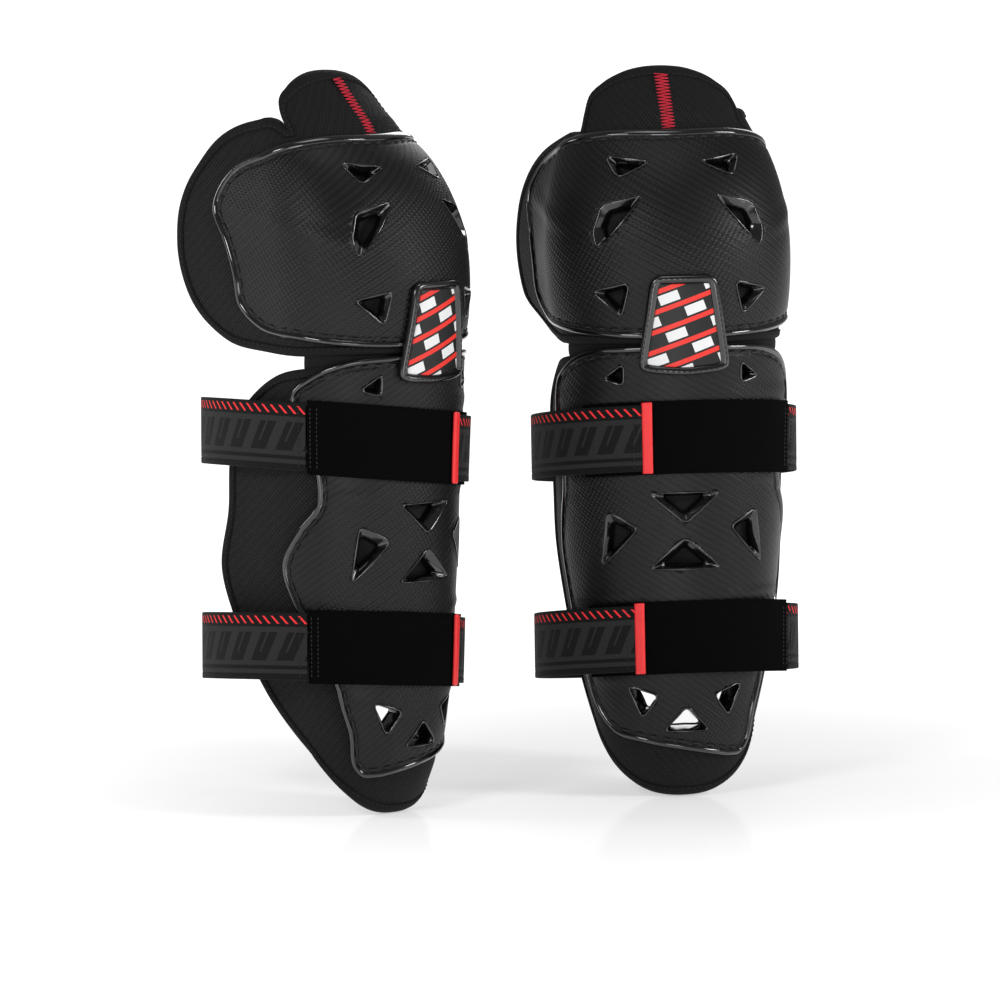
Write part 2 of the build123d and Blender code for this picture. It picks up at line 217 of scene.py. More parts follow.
def skin(plan, inset):
    """Points of the layer at an inset, over a flat plan of (across, height).

    Up to 100 across, the layer is a half ellipse round the front and across/100 is its
    share of a quarter turn. Beyond that it runs straight back, one for one, as a wing;
    the inner wing leans out by the flare, eased in with height and with distance.
    """
    p, z = plan[..., 0], plan[..., 1]
    width, front, depth = body_at(z)
    turn = np.clip(p / QUARTER, -1, 1) * pi / 2
    beyond = np.maximum(np.abs(p) - QUARTER, 0)
    side = front + depth
    x = (width - inset) * np.sin(turn)
    y = front + inset + (depth - inset) * (1 - np.cos(turn)) + beyond
    rise = ease((z - FLARE_FROM) / (FLARE_TO - FLARE_FROM))
    x = x - np.where(p < 0, WING_FLARE * rise * ease(beyond / (WING_END - side)), 0)
    return np.stack([x, y, z + 0 * x], axis=-1)


def skin_normal(plan):
    """Outward unit normals of the skin: the cross product of its two differences."""
    across, up = np.array([NORMAL_STEP, 0.0]), np.array([0.0, NORMAL_STEP])
    du = skin(plan + across, 0) - skin(plan - across, 0)
    dv = skin(plan + up, 0) - skin(plan - up, 0)
    normal = np.cross(du, dv)
    return normal / np.linalg.norm(normal, axis=-1, keepdims=True)


def from_side(points, inset, sign=1):
    """Plan points of (depth, height) points: the skin's depth formula turned round."""
    d, z = np.array(points, float).T
    _, front, depth = body_at(z)
    rounded = np.arccos(np.clip(1 - (d - front - inset) / (depth - inset), -1, 1)) * 2 / pi
    p = np.where(d < front + depth, rounded * QUARTER, QUARTER + d - front - depth)
    return np.stack([sign * p, z], axis=-1)


def from_front(points, inset):
    """Plan points of (across, height) points: the arc sine of across over half width."""
    x, z = np.array(points, float).T
    width = body_at(z)[0] - inset
    return np.stack([np.arcsin(np.clip(x / width, -1, 1)) * 2 / pi * QUARTER, z], axis=-1)


def resample(points, count):
    """A closed line's points spaced evenly by length."""
    line = np.vstack([points, points[:1]])
    run = np.concatenate([[0], np.cumsum(np.linalg.norm(np.diff(line, axis=0), axis=1))])
    at = np.linspace(0, run[-1], count + 1)[:-1]
    return np.stack([np.interp(at, run, line[:, k]) for k in range(line.shape[1])], axis=-1)


def smooth_loop(points, count):
    """A closed cubic Hermite curve through the points, with chord-weighted slopes."""
    here = np.asarray(points, float)
    after, before = np.roll(here, -1, axis=0), np.roll(here, 1, axis=0)
    ahead = np.linalg.norm(after - here, axis=1)[:, None]
    back = np.linalg.norm(here - before, axis=1)[:, None]
    slope = (back * (after - here) / ahead + ahead * (here - before) / back) / (back + ahead)
    u = np.linspace(0, 1, 16, endpoint=False)[None, :, None]
    turn, next_turn = slope * ahead, np.roll(slope, -1, axis=0) * ahead
    curve = hermite(here[:, None], after[:, None], turn[:, None], next_turn[:, None], u)
    return resample(curve.reshape(-1, 2), count)


def rounded_loop(corners, radius, count):
    """A polygon whose corners are replaced by quadratic curves that start a radius away."""
    here = np.asarray(corners, float)
    after, before = np.roll(here, -1, axis=0), np.roll(here, 1, axis=0)
    far = np.linalg.norm(after - here, axis=1)[:, None]
    near = np.linalg.norm(before - here, axis=1)[:, None]
    start = here + (before - here) * np.minimum(radius / near, CORNER_SHARE)
    end = here + (after - here) * np.minimum(radius / far, CORNER_SHARE)
    u = np.linspace(0, 1, 9)[None, :, None]
    curve = start[:, None] * (1 - u) ** 2 + 2 * here[:, None] * u * (1 - u) + end[:, None] * u * u
    return resample(curve.reshape(-1, 2), count)


def inwards(loop):
    """Unit vectors that point into a closed plan loop."""
    ahead = np.roll(loop, -2, axis=0) - np.roll(loop, 2, axis=0)
    normal = np.stack([-ahead[:, 1], ahead[:, 0]], axis=-1)
    normal /= np.linalg.norm(normal, axis=1, keepdims=True)
    area = np.sum(loop[:, 0] * np.roll(loop[:, 1], -1) - np.roll(loop[:, 0], -1) * loop[:, 1])
    return normal if area > 0 else -normal


def level_inset(plan, inset):
    """The same inset at every plan point."""
    return np.full(len(plan), float(inset))


def plan_rings(loop, centre, steps, inset_of, profile, back_steps):
    """Rings of a thin closed solid over a plan loop.

    From the centre out to the first profile inset, then along the profile of
    (distance in from the edge, layer inset), then back to the centre on the inner side.
    """
    pull = inwards(loop)
    first, last = profile[0], profile[-1]
    plans, insets = [], []
    for share in np.linspace(POLE_SHARE, 1, steps)[:-1]:
        plans.append(centre + (loop + pull * first[0] - centre) * share)
        insets.append(inset_of(plans[-1], first[1]))
    for distance, inset in profile:
        plans.append(loop + pull * distance)
        insets.append(level_inset(loop, inset))
    for share in np.linspace(1, POLE_SHARE, back_steps)[1:]:
        plans.append(centre + (loop + pull * last[0] - centre) * share)
        insets.append(level_inset(loop, last[1]))
    plans, insets = np.array(plans), np.array(insets)
    return skin(plans, insets), plans * MM


def loop_tube(loop, profile):
    """Rings of a closed profile carried round a plan loop; the last ring joins the first."""
    pull = inwards(loop)
    plans = np.array([loop + pull * distance for distance, _ in profile])
    insets = np.array([[inset] * len(loop) for _, inset in profile], float)
    return skin(plans, insets), plans * MM


# ============ meshes ============
def quads_of(grid, joined=False):
    """Corner numbers of the faces between each ring of a grid and the next one."""
    nxt = np.roll(grid, -1, axis=1)
    quads = np.stack([grid, nxt, np.roll(nxt, -1, axis=0), np.roll(grid, -1, axis=0)], axis=-1)
    return (quads if joined else quads[:-1]).reshape(-1, 4)


def ring_mesh(name, rings, prints, joined=False, marks=None):
    """A closed mesh of rings of points in millimetres.

    Each ring is joined to the next. The two end rings meet a pole each, or each other
    when joined. prints is the flat print position of every point, kept as a UV map, and
    marks is the number of the finish of each strip of faces.
    """
    count, around = rings.shape[:2]
    points, flat = rings.reshape(-1, 3), prints.reshape(-1, 2)
    grid = np.arange(count * around).reshape(count, around)
    nxt = np.roll(grid, -1, axis=1)
    faces = quads_of(grid, joined).tolist()
    strip = np.repeat(np.arange(count if joined else count - 1), around)
    if not joined:
        base = len(points)
        points = np.vstack([points, rings[0].mean(0), rings[-1].mean(0)])
        flat = np.vstack([flat, prints[0].mean(0), prints[-1].mean(0)])
        first = np.stack([nxt[0], grid[0], np.full(around, base)], axis=-1)
        last = np.stack([grid[-1], nxt[-1], np.full(around, base + 1)], axis=-1)
        faces += first.tolist() + last.tolist()
        strip = np.concatenate([strip, np.zeros(around, int), np.full(around, count - 2)])
    marks = None if marks is None else np.asarray(marks)[strip]
    return mesh_of(name, points, faces, flat, marks)


def mesh_of(name, points, faces, flat=None, marks=None):
    """A smooth-shaded mesh from points in millimetres, with its faces turned outwards."""
    mesh = bpy.data.meshes.new(name)
    mesh.from_pydata((points * MM).tolist(), [], faces)
    if marks is not None:
        kept = mesh.attributes.new("mark", "INT", "FACE")
        kept.data.foreach_set("value", np.asarray(marks, np.int32))
    mesh.polygons.foreach_set("use_smooth", np.ones(len(mesh.polygons), bool))
    if flat is not None:
        corner = np.zeros(len(mesh.loops), np.int32)
        mesh.loops.foreach_get("vertex_index", corner)
        layer = mesh.uv_layers.new(name="print")
        layer.data.foreach_set("uv", flat[corner].astype(np.float32).ravel())
    work = bmesh.new()
    work.from_mesh(mesh)
    bmesh.ops.recalc_face_normals(work, faces=work.faces)
    work.to_mesh(mesh)
    work.free()
    mesh.update()
    return mesh


def cut(mesh, cutter):
    """The mesh with the cutter's volume taken out of it."""
    body = bpy.data.objects.new("cut_body", mesh)
    tool = bpy.data.objects.new("cut_tool", cutter)
    for thing in (body, tool):
        bpy.context.scene.collection.objects.link(thing)
    step = body.modifiers.new("cut", "BOOLEAN")
    step.operation, step.object, step.solver = "DIFFERENCE", tool, "EXACT"
    graph = bpy.context.evaluated_depsgraph_get()
    made = bpy.data.meshes.new_from_object(body.evaluated_get(graph))
    made.materials.clear()
    for thing in (body, tool):
        bpy.data.objects.remove(thing)
    return made


def swell(mesh, held):
    """The mesh puffed up by a short cloth simulation; no point moves further than the cap."""
    thing = bpy.data.objects.new("swell", mesh)
    bpy.context.scene.collection.objects.link(thing)
    group = thing.vertex_groups.new(name="held")
    group.add(np.flatnonzero(held).tolist(), 1.0, "REPLACE")
    cloth = thing.modifiers.new("cloth", "CLOTH")
    made = cloth.settings
    made.vertex_group_mass = "held"
    made.use_pressure, made.uniform_pressure_force = True, SWELL_PRESSURE
    made.effector_weights.gravity = 0
    made.mass, made.air_damping = 0.1, 2.0
    cloth.point_cache.frame_start, cloth.point_cache.frame_end = 1, SWELL_FRAMES
    for number in range(1, SWELL_FRAMES + 1):
        bpy.context.scene.frame_set(number)
    graph = bpy.context.evaluated_depsgraph_get()
    count = len(mesh.vertices) * 3
    before, after = np.zeros(count), np.zeros(count)
    mesh.vertices.foreach_get("co", before)
    thing.evaluated_get(graph).data.vertices.foreach_get("co", after)
    before, move = before.reshape(-1, 3), (after - before).reshape(-1, 3)
    length = np.maximum(np.linalg.norm(move, axis=1, keepdims=True), 1e-9)
    limit = SWELL_CAP * MM
    moved = before + move / length * limit * np.tanh(length / limit)
    bpy.data.objects.remove(thing)
    bpy.context.scene.frame_set(1)
    mesh.vertices.foreach_set("co", moved.ravel())
    mesh.update()
    return mesh



def thread(name, lines, normals, radius, dip=0.75):
    """Stitches: one short capsule for each (start, end) line of points in millimetres.

    A capsule is six rings of six points; its radius follows a rounded bar, and its ends
    dip into the cloth by a share of the radius.
    """
    start, end = lines[:, 0], lines[:, 1]
    along = end - start
    reach = np.linalg.norm(along, axis=1, keepdims=True)
    along = along / reach
    up = normals - along * np.sum(normals * along, axis=1, keepdims=True)
    up /= np.linalg.norm(up, axis=1, keepdims=True)
    side = np.cross(along, up)
    at = np.array([-0.5, -0.44, -0.2, 0.2, 0.44, 0.5])
    fat = np.array([0.3, 0.8, 1.0, 1.0, 0.8, 0.3])
    low = np.array([-2.0, -0.9, 0.0, 0.0, -0.9, -2.0]) * dip
    turn = np.arange(6) * pi / 3
    ring = radius * fat[:, None, None] * (
        np.cos(turn)[:, None] * side[:, None, None] + np.sin(turn)[:, None] * up[:, None, None]
    )
    base = ((start + end) / 2)[:, None] + along[:, None] * (at[:, None] * reach[:, None])
    base = base + up[:, None] * (low * radius)[:, None]
    points = (base[:, :, None] + ring).reshape(-1, 3)
    grid = np.arange(36).reshape(6, 6)
    shift = np.arange(len(lines)) * grid.size
    faces = (quads_of(grid)[None] + shift[:, None, None]).reshape(-1, 4).tolist()
    for cap in (grid[0], grid[-1]):
        faces += (cap[None] + shift[:, None]).tolist()
    flat = np.tile(np.stack([np.repeat(at, 6), np.tile(turn, 6)], axis=-1), (len(lines), 1))
    return mesh_of(name, points, faces, flat)


def running_stitch(loop, inset, pitch, share):
    """Start and end points of stitches along a closed plan loop, and the skin's normals."""
    dense = resample(loop, 2000)
    length = np.linalg.norm(np.diff(skin(dense, inset), axis=0), axis=1)
    run = np.concatenate([[0], np.cumsum(length)])
    count = max(4, int(run[-1] / pitch))
    starts = np.arange(count) * run[-1] / count
    ends = starts + share * run[-1] / count
    at = [
        np.stack([np.interp(s, run, dense[:, k]) for k in (0, 1)], axis=-1)
        for s in (starts, ends)
    ]
    return np.stack([skin(a, inset) for a in at], axis=1), skin_normal((at[0] + at[1]) / 2)


def sewn_edge(name, loop, pitch, stitch):
    """Running stitches inside a closed outline, by one row of the stitch table."""
    distance, inset, share, radius = stitch
    lines, normals = running_stitch(loop + inwards(loop) * distance, inset, pitch, share)
    return thread(name, lines, normals, radius)


# ============ where each guard stands ============
def joint(name):
    return next(j for j in frame["joints"] if j["name"] == name)


def stand_of(side):
    """The matrix from a guard's drawing to the row frame, from its knee joint.

    The joint's axis is the drawing's X turned round; Y is level and square to it.
    """
    hinge = joint(f"{side}_knee_flex")
    x = -Vector(hinge["axis"]).normalized()
    y = Vector((-x.y, x.x, 0)).normalized()
    z = x.cross(y)
    pivot = Vector(KNEE_PIVOT) * MM
    origin = Vector(hinge["pos_m"]) - (y * pivot.y + z * pivot.z)
    if side == "right":
        x = -x
    return Matrix((
        (x.x, y.x, z.x, origin.x), (x.y, y.y, z.y, origin.y), (x.z, y.z, z.z, origin.z),
        (0, 0, 0, 1),
    ))


STANDS = {side: stand_of(side) for side in SIDES}


def strap_normal(side, level):
    """The drawing's normal of a strap's plane: the axis that its free end turns about."""
    axis = Vector(joint(f"{side}_{level}_strap_open")["axis"])
    turned = STANDS[side].to_3x3().transposed() @ axis
    return (turned if turned.z > 0 else -turned).normalized()


def piece(side, name, mesh, finishes, nodes=(), body=None, bends=None, turned=False):
    """Puts a copy of a drawn mesh where its guard stands, and ties it to its body.

    bends, when given, ties it to no body and bakes its place into the mesh; the bodies
    and points in it are not used. turned makes the print run the same way on the
    mirrored guard, not the mirrored way.
    """
    made = mesh.copy()
    made.name = f"{side}_{name}_look"
    made.transform(STANDS[side])
    if STANDS[side].determinant() < 0:
        made.flip_normals()
        if turned:
            flat = np.zeros(len(made.loops) * 2, np.float32)
            made.uv_layers[0].data.foreach_get("uv", flat)
            flat[0::2] *= -1
            made.uv_layers[0].data.foreach_set("uv", flat)
    for finish in finishes:
        made.materials.append(finish)
    if "mark" in made.attributes:
        marks = np.zeros(len(made.polygons), np.int32)
        made.attributes["mark"].data.foreach_get("value", marks)
        made.polygons.foreach_set("material_index", marks)
    thing = bpy.data.objects.new(f"{side}_{name}_look", made)
    bpy.context.scene.collection.objects.link(thing)
    if nodes:
        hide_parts(*[f"{side}_{node}" for node in nodes])
    if bends:
        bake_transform(thing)
    else:
        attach(thing, f"{side}_{body}")
    return thing


# ============ finishes ============
class Value:
    """A shader socket that can stand in sums."""

    def __init__(self, paint, socket):
        self.paint, self.socket = paint, socket

    def math(self, kind, *values):
        return self.paint.add("ShaderNodeMath", {"operation": kind}, dict(enumerate(values)))

    def __add__(self, other):
        return self.math("ADD", self, other)

    __radd__ = __add__

    def __sub__(self, other):
        return self.math("SUBTRACT", self, other)

    def __rsub__(self, other):
        return self.math("SUBTRACT", other, self)

    def __mul__(self, other):
        return self.math("MULTIPLY", self, other)

    __rmul__ = __mul__

    def __truediv__(self, other):
        return self.math("DIVIDE", self, other)

    def __gt__(self, other):
        return self.math("GREATER_THAN", self, other)

    def __lt__(self, other):
        return self.math("LESS_THAN", self, other)

    def wave(self, length):
        """A sine of the value, from 0 to 1, that repeats every length."""
        return self.math("SINE", self * (2 * pi / length)) * 0.5 + 0.5

    def part(self, length):
        """The share, from 0 to 1, of the way through each length."""
        return self.math("FRACT", self / length)

    def soft(self, low, high):
        """0 below low and 1 above high, eased between."""
        return self.paint.add(
            "ShaderNodeMapRange", {"interpolation_type": "SMOOTHSTEP"},
            {"Value": self, "From Min": low, "From Max": high},
        )

    def between(self, low, high):
        return (self > low) * (self < high)


class Paint:
    """One material, whose fixed values sit on the shader's own sockets."""

    def __init__(self, name, **fixed):
        self.material = bpy.data.materials.new(name)
        self.material.use_nodes = True
        self.tree = self.material.node_tree
        self.shader = self.tree.nodes["Principled BSDF"]
        for socket, value in fixed.items():
            self.shader.inputs[socket.replace("_", " ")].default_value = value

    def add(self, kind, settings=None, inputs=None, output=0):
        """A node of a kind: its settings are made first, then its sockets' values or links."""
        node = self.tree.nodes.new(kind)
        for name, value in (settings or {}).items():
            setattr(node, name, value)
        for name, value in (inputs or {}).items():
            if isinstance(value, Value):
                self.tree.links.new(value.socket, node.inputs[name])
            else:
                node.inputs[name].default_value = value
        return Value(self, node.outputs[output])

    def flat_place(self):
        """The two numbers of the piece's own print map."""
        flat = self.add("ShaderNodeUVMap", {"uv_map": "print"})
        split = self.add("ShaderNodeSeparateXYZ", None, {0: flat}).socket.node
        return [Value(self, split.outputs[k]) for k in (0, 1)]

    def print_place(self):
        """The piece's own flat position, along and across, in millimetres."""
        return [value * 1000 for value in self.flat_place()]

    def solid_place(self):
        """The piece's own position in the round."""
        return self.add("ShaderNodeTexCoord", None, None, "Object")

    def noise(self, scale, detail=3.0):
        inputs = {"Vector": self.solid_place(), "Scale": scale, "Detail": detail}
        return self.add("ShaderNodeTexNoise", None, inputs)

    def mix(self, share, low, high):
        """A colour between two."""
        return self.add("ShaderNodeMix", {"data_type": "RGBA"}, {0: share, 6: low, 7: high}, 2)

    def finish(self, colour=None, rough=None, height=None, depth=0.0002, strength=0.6):
        """Links what changes over the surface: colour, roughness and a bump's height."""
        sockets = self.shader.inputs
        for value, name in ((colour, "Base Color"), (rough, "Roughness")):
            if value is not None:
                self.tree.links.new(value.socket, sockets[name])
        if height is not None:
            raised = self.add("ShaderNodeBump", None,
                              {"Height": height, "Strength": strength, "Distance": depth})
            self.tree.links.new(raised.socket, sockets["Normal"])
        return self.material


def tone(colour, share=1.0):
    """A colour as four numbers, made darker or lighter by a share."""
    return (colour[0] * share, colour[1] * share, colour[2] * share, 1.0)


def twill_shell(colour):
    """Satin moulded plastic with slanting bands of fine raised dashes."""
    p = Paint("twill_shell", Specular_IOR_Level=0.2)
    u, v = p.print_place()
    slant, square = u * 0.62 + v, u - v * 0.62
    cloud = p.noise(26.0)
    band = (slant + cloud * 2).wave(4.4)
    rows = slant.wave(2.5)
    dash = (square + rows * 0.5).wave(3.1)
    weave = rows * dash
    patch = p.noise(11.0, 1.0).soft(0.4, 0.66)
    weave = weave * (patch * 0.88 + 0.12)
    light = weave * 0.75 + band * (0.25 - patch * 0.12)
    colour = p.mix(light, tone(colour, 0.3), tone(colour, 2.6))
    grain = p.noise(1500.0, 2.0)
    return p.finish(colour, 0.36 + 0.16 * cloud + 0.1 * weave,
                    weave + band * 0.25 + grain * 0.1, 0.0004, 1.0)


def gloss_black(name, colour, rough=0.12):
    """Gloss moulded plastic with a faint ripple."""
    p = Paint(name, Specular_IOR_Level=0.5, Coat_Weight=0.35, Coat_Roughness=0.03)
    cloud = p.noise(60.0)
    return p.finish(p.mix(cloud, tone(colour, 0.6), tone(colour, 1.3)), rough + 0.08 * cloud,
                    p.noise(220.0, 1.0), 0.0001, 0.3)


def mesh_cloth(colour):
    """Open knitted mesh: a diamond net of holes with soft slanting ribs."""
    p = Paint("mesh_cloth", Specular_IOR_Level=0.13, Sheen_Weight=0.008, Sheen_Roughness=0.45)
    u, v = p.print_place()
    net = (u + v).wave(2.7) * (u - v).wave(2.7)
    hole = net.soft(0.15, 0.55)
    rib = (u * 0.8 + v).wave(6.4)
    fuzz = p.noise(900.0)
    shade = hole * 0.6 + fuzz * 0.2 + rib * 0.2
    return p.finish(p.mix(shade, tone(colour, 2.6), tone(colour, 0.05)), 0.64 + 0.2 * fuzz,
                    1 - hole + rib * 0.25 + fuzz * 0.3, 0.0006, 0.9)


def knit(name, colour, pitch=1.1, sheen=0.015):
    """Fine ribbed knit with a little fuzz."""
    p = Paint(name, Specular_IOR_Level=0.1, Sheen_Weight=sheen, Sheen_Roughness=0.5)
    u, v = p.print_place()
    rib = (u + v * 0.15).wave(pitch)
    course = (v + rib * 0.3).wave(pitch * 1.3)
    fuzz = p.noise(700.0)
    shade = rib * course * 0.6 + fuzz * 0.4
    return p.finish(p.mix(shade, tone(colour, 0.6), tone(colour, 1.5)), 0.7 + 0.2 * fuzz,
                    rib * 0.6 + course * 0.4 + fuzz * 0.4, 0.0003, 0.7)


def loop_pile(colour):
    """Deep matt loop pile."""
    p = Paint("loop_pile", Specular_IOR_Level=0.03)
    tuft, cloud = p.noise(1500.0, 4.0), p.noise(60.0)
    return p.finish(p.mix(tuft * 0.6 + cloud * 0.4, tone(colour, 0.5), tone(colour, 1.6)),
                    0.85 + 0.15 * cloud, tuft, 0.0006, 0.8)


def hook_tape(colour):
    """Rows of small hooks."""
    p = Paint("hook_tape", Specular_IOR_Level=0.3)
    u, v = p.print_place()
    hooks = u.wave(1.5) * v.wave(1.2)
    return p.finish(p.mix(hooks, tone(colour, 0.6), tone(colour, 2.2)), 0.45 + 0.2 * hooks,
                    hooks.soft(0.3, 0.7), 0.0006, 0.9)


def elastic(grey, mark):
    """Woven elastic: a black edge with red slanting dashes, a grey field with dark
    slanting blocks, and three lines along its lower edge."""
    p = Paint("woven_elastic", Specular_IOR_Level=0.1, Sheen_Weight=0.02, Sheen_Roughness=0.5)
    u, v = p.print_place()
    edge = v > 11.6
    dash = ((u + v * 0.92).part(5.6) < 0.27) * v.between(13.4, 18.0)
    foot = v.between(-20.5, -16.2) + v.between(-13.6, -11.4)
    slant = (u - v * 0.45).part(17.0)
    block = slant.between(0.12, 0.74) * v.between(-8.6, 8.4)
    stripe = slant.between(0.34, 0.42) * v.between(-3.5, 8.4)
    dark = p.add("ShaderNodeMath", {"operation": "MAXIMUM"},
                 {0: edge + foot, 1: block * (1 - stripe) * 0.9})
    rib = v.wave(0.95)
    pick = (u + rib * 0.25).wave(0.8)
    fuzz = p.noise(800.0)
    weave = rib * pick * 0.5 + fuzz * 0.3
    ground = p.mix(dark, tone(grey), tone(grey, 0.2))
    ground = p.mix(weave * 0.7, ground, tone(grey, 0.3))
    colour = p.mix(dash, ground, tone(mark))
    return p.finish(colour, 0.66 + 0.2 * fuzz, rib * 0.5 + pick * 0.3 + dash * 0.8 + fuzz * 0.2,
                    0.00025, 0.7)


def moulded_tab(colour):
    """Soft moulded rubber with a fine leather grain."""
    p = Paint("moulded_tab", Specular_IOR_Level=0.35)
    grain = p.add("ShaderNodeTexVoronoi", None, {"Vector": p.solid_place(), "Scale": 900.0})
    cloud = p.noise(120.0)
    return p.finish(p.mix(cloud, tone(colour, 0.9), tone(colour, 1.08)), 0.42 + 0.12 * cloud,
                    grain, 0.0002, 0.35)


def badge_print(ground, stripe, block):
    """Charcoal face printed with slanting red stripes and rows of pale blocks between them."""
    p = Paint("badge_print", Specular_IOR_Level=0.25, Coat_Weight=0.06, Coat_Roughness=0.3)
    u, v = p.print_place()
    slant = v - u * 0.36
    row = slant.part(12.0)
    red = row.between(0.06, 0.31)
    step = (u + v * 0.36 + (slant - row * 12.0) * 1.1).part(30.0)
    pale = row.between(0.42, 0.95) * step.between(0.12, 0.55)
    inside = v.between(-26.5, 25.0)
    cloud = p.noise(150.0)
    face = p.mix(cloud, tone(ground, 0.8), tone(ground, 1.3))
    face = p.mix(pale * inside, face, tone(block))
    face = p.mix(red * inside, face, tone(stripe))
    ink = (red + pale) * inside
    return p.finish(face, 0.4 + 0.1 * cloud, ink + p.noise(700.0) * 0.3, 0.00025, 0.5)


def sewing_thread(name, colour, rough=0.5):
    """Twisted thread."""
    p = Paint(name, Specular_IOR_Level=0.35)
    along, around = p.flat_place()
    twist = (along + around / 6.0).wave(0.16)
    return p.finish(p.mix(twist, tone(colour, 0.6), tone(colour, 1.3)), rough + 0.15 * twist,
                    twist, 0.00015, 0.6)


def pale_glowing_floor(colour):
    """Pale seamless board with a soft reflection. Its emission is painted light: a glow that is
    weaker near the guards and white away from them.
    """
    p = Paint("pale_glowing_floor", Specular_IOR_Level=0.55, Roughness=0.13, Emission_Strength=1.0)
    away = p.add("ShaderNodeVectorMath", {"operation": "LENGTH"}, {0: p.solid_place()}, 1)
    glow = p.mix(away.soft(*GLOW_REACH), tone((1, 1, 1), GLOW_NEAR), tone((1, 1, 1)))
    p.tree.links.new(glow.socket, p.shader.inputs["Emission Color"])
    return p.finish(p.mix(p.noise(3.0), tone(colour, 0.99), tone(colour)))


FINISHES = {}


def finish_named(name):
    """A finish, made from the settings the first time it is asked for."""
    if name not in FINISHES:
        look = bpy.context.scene.knee_guards
        shell, pad, strap, badge = look.shell, look.pad, look.strap, look.badge
        makers = {
            "shell": lambda: twill_shell(shell.colour),
            "lip": lambda: gloss_black("gloss_lip", shell.lip_colour, 0.08),
            "vent": lambda: gloss_black("gloss_vent", shell.lip_colour, 0.1),
            "rubber": lambda: gloss_black("badge_rubber", badge.rim_colour, 0.2),
            "cover": lambda: mesh_cloth(pad.cover_colour),
            "binding": lambda: knit("binding_knit", pad.binding_colour, 1.0),
            "lining": lambda: knit("brushed_lining", pad.lining_colour, 1.7, 0.06),
            "gusset": lambda: knit("stretch_knit", pad.binding_colour, 1.4),
            "elastic": lambda: elastic(strap.elastic_colour, strap.mark_colour),
            "pile": lambda: loop_pile(strap.pile_colour),
            "hook": lambda: hook_tape(strap.pile_colour),
            "tab": lambda: moulded_tab(strap.tab_colour),
            "badge": lambda: badge_print(
                badge.face_colour, badge.stripe_colour, badge.block_colour),
            "black_thread": lambda: sewing_thread("black_thread", shell.lip_colour, 0.35),
            "pad_thread": lambda: sewing_thread("pad_thread", pad.binding_colour, 0.6),
            "red_thread": lambda: sewing_thread("red_thread", pad.seam_colour, 0.6),
        }
        FINISHES[name] = makers[name]()
    return FINISHES[name]


# ============ the drawn outlines ============
AROUND = 288
KNEE_CENTRE = np.array([0.0, 345.0])
SHIN_CENTRE = np.array([0.0, 150.0])


def mirror_plan(points):
    return points[::-1] * np.array([-1.0, 1.0])


def knee_shell_loop():
    right = from_side(KNEE_SHELL_SIDE, 0)
    return smooth_loop(np.vstack([[(0, 408.5)], right, [(0, 284)], mirror_plan(right)]), AROUND)


def shin_shell_loop():
    right = from_side(SHIN_SHELL_OUTER, 0)
    left = from_side(SHIN_SHELL_INNER, 0, -1)[::-1]
    tip = from_front(SHIN_SHELL_TIP, 0)
    return smooth_loop(np.vstack([[(0, 279.5)], right, tip, left]), AROUND)


def knee_pad_loop():
    right = from_side(KNEE_PAD_OUTER, COVER_OUT)
    left = from_side(KNEE_PAD_INNER, COVER_OUT, -1)[::-1]
    flap = from_front(FLAP_FRONT, COVER_OUT)
    flap_left = mirror_plan(flap[:-1])
    loop = np.vstack([
        flap[::-1], [(70.5, 411.5)], right, [(50, 279.6)], [(0, 279.6)], [(-50, 279.6)], left,
        [(-74.0, 406.0)], flap_left[::-1],
    ])
    return smooth_loop(loop, AROUND + 64)


def shin_pad_loop():
    right = from_side(SHIN_PAD_SIDE, COVER_OUT)
    return smooth_loop(np.vstack([[(0, 271.8)], right, [(0, 0.0)], mirror_plan(right)]), AROUND)


# ============ pieces ============
SHELL_EDGE = [
    (8.2, 0.0), (7.2, 0.0), (6.7, 0.12), (6.3, 0.45), (5.6, 0.6), (4.7, 0.6), (4.0, 0.45),
    (3.6, 0.1), (3.2, -0.45), (2.6, -1.0), (1.8, -1.25), (1.0, -1.1), (0.4, -0.6), (0.0, 0.2),
    (0.0, 1.4), (0.5, 2.3), (1.3, SHELL_IN),
]
LIP_FROM = 3.6
SHELL_STEPS, SHELL_BACK_STEPS = 34, 14


def ledge(plan, inset):
    """The shin shell's low ridges above and below each strap, fading at the middle."""
    raised = np.zeros(len(plan))
    for middle in LEVELS.values():
        for edge in (-1, 1):
            at = middle + edge * 26.0 - np.abs(plan[:, 0]) * 0.03
            raised += 0.8 * bump(plan[:, 1], at, 5.0) * ease((np.abs(plan[:, 0]) - 16) / 20)
    return inset - raised


def crease(plan, inset):
    """The knee shell's faint raised brow lines, which fade out towards the middle."""
    brow = 0.7 * bump(plan[:, 1], 334.0 + np.abs(plan[:, 0]) * 0.25, 9.0)
    return inset - brow * ease((np.abs(plan[:, 0]) - 14) / 26)


def draw_shell(name, loop, centre, inset_of):
    """A moulded shell; the strips of its edge from the lip outwards are marked 1."""
    rings, prints = plan_rings(loop, centre, SHELL_STEPS, inset_of, SHELL_EDGE, SHELL_BACK_STEPS)
    edge = SHELL_STEPS - 1
    lip = edge + next(i for i, (distance, _) in enumerate(SHELL_EDGE) if distance <= LIP_FROM)
    marks = [int(lip <= i <= edge + len(SHELL_EDGE)) for i in range(len(rings) - 1)]
    return ring_mesh(name, rings, prints, marks=marks)


VENT_CORNER, VENT_POINTS = 4.0, 60


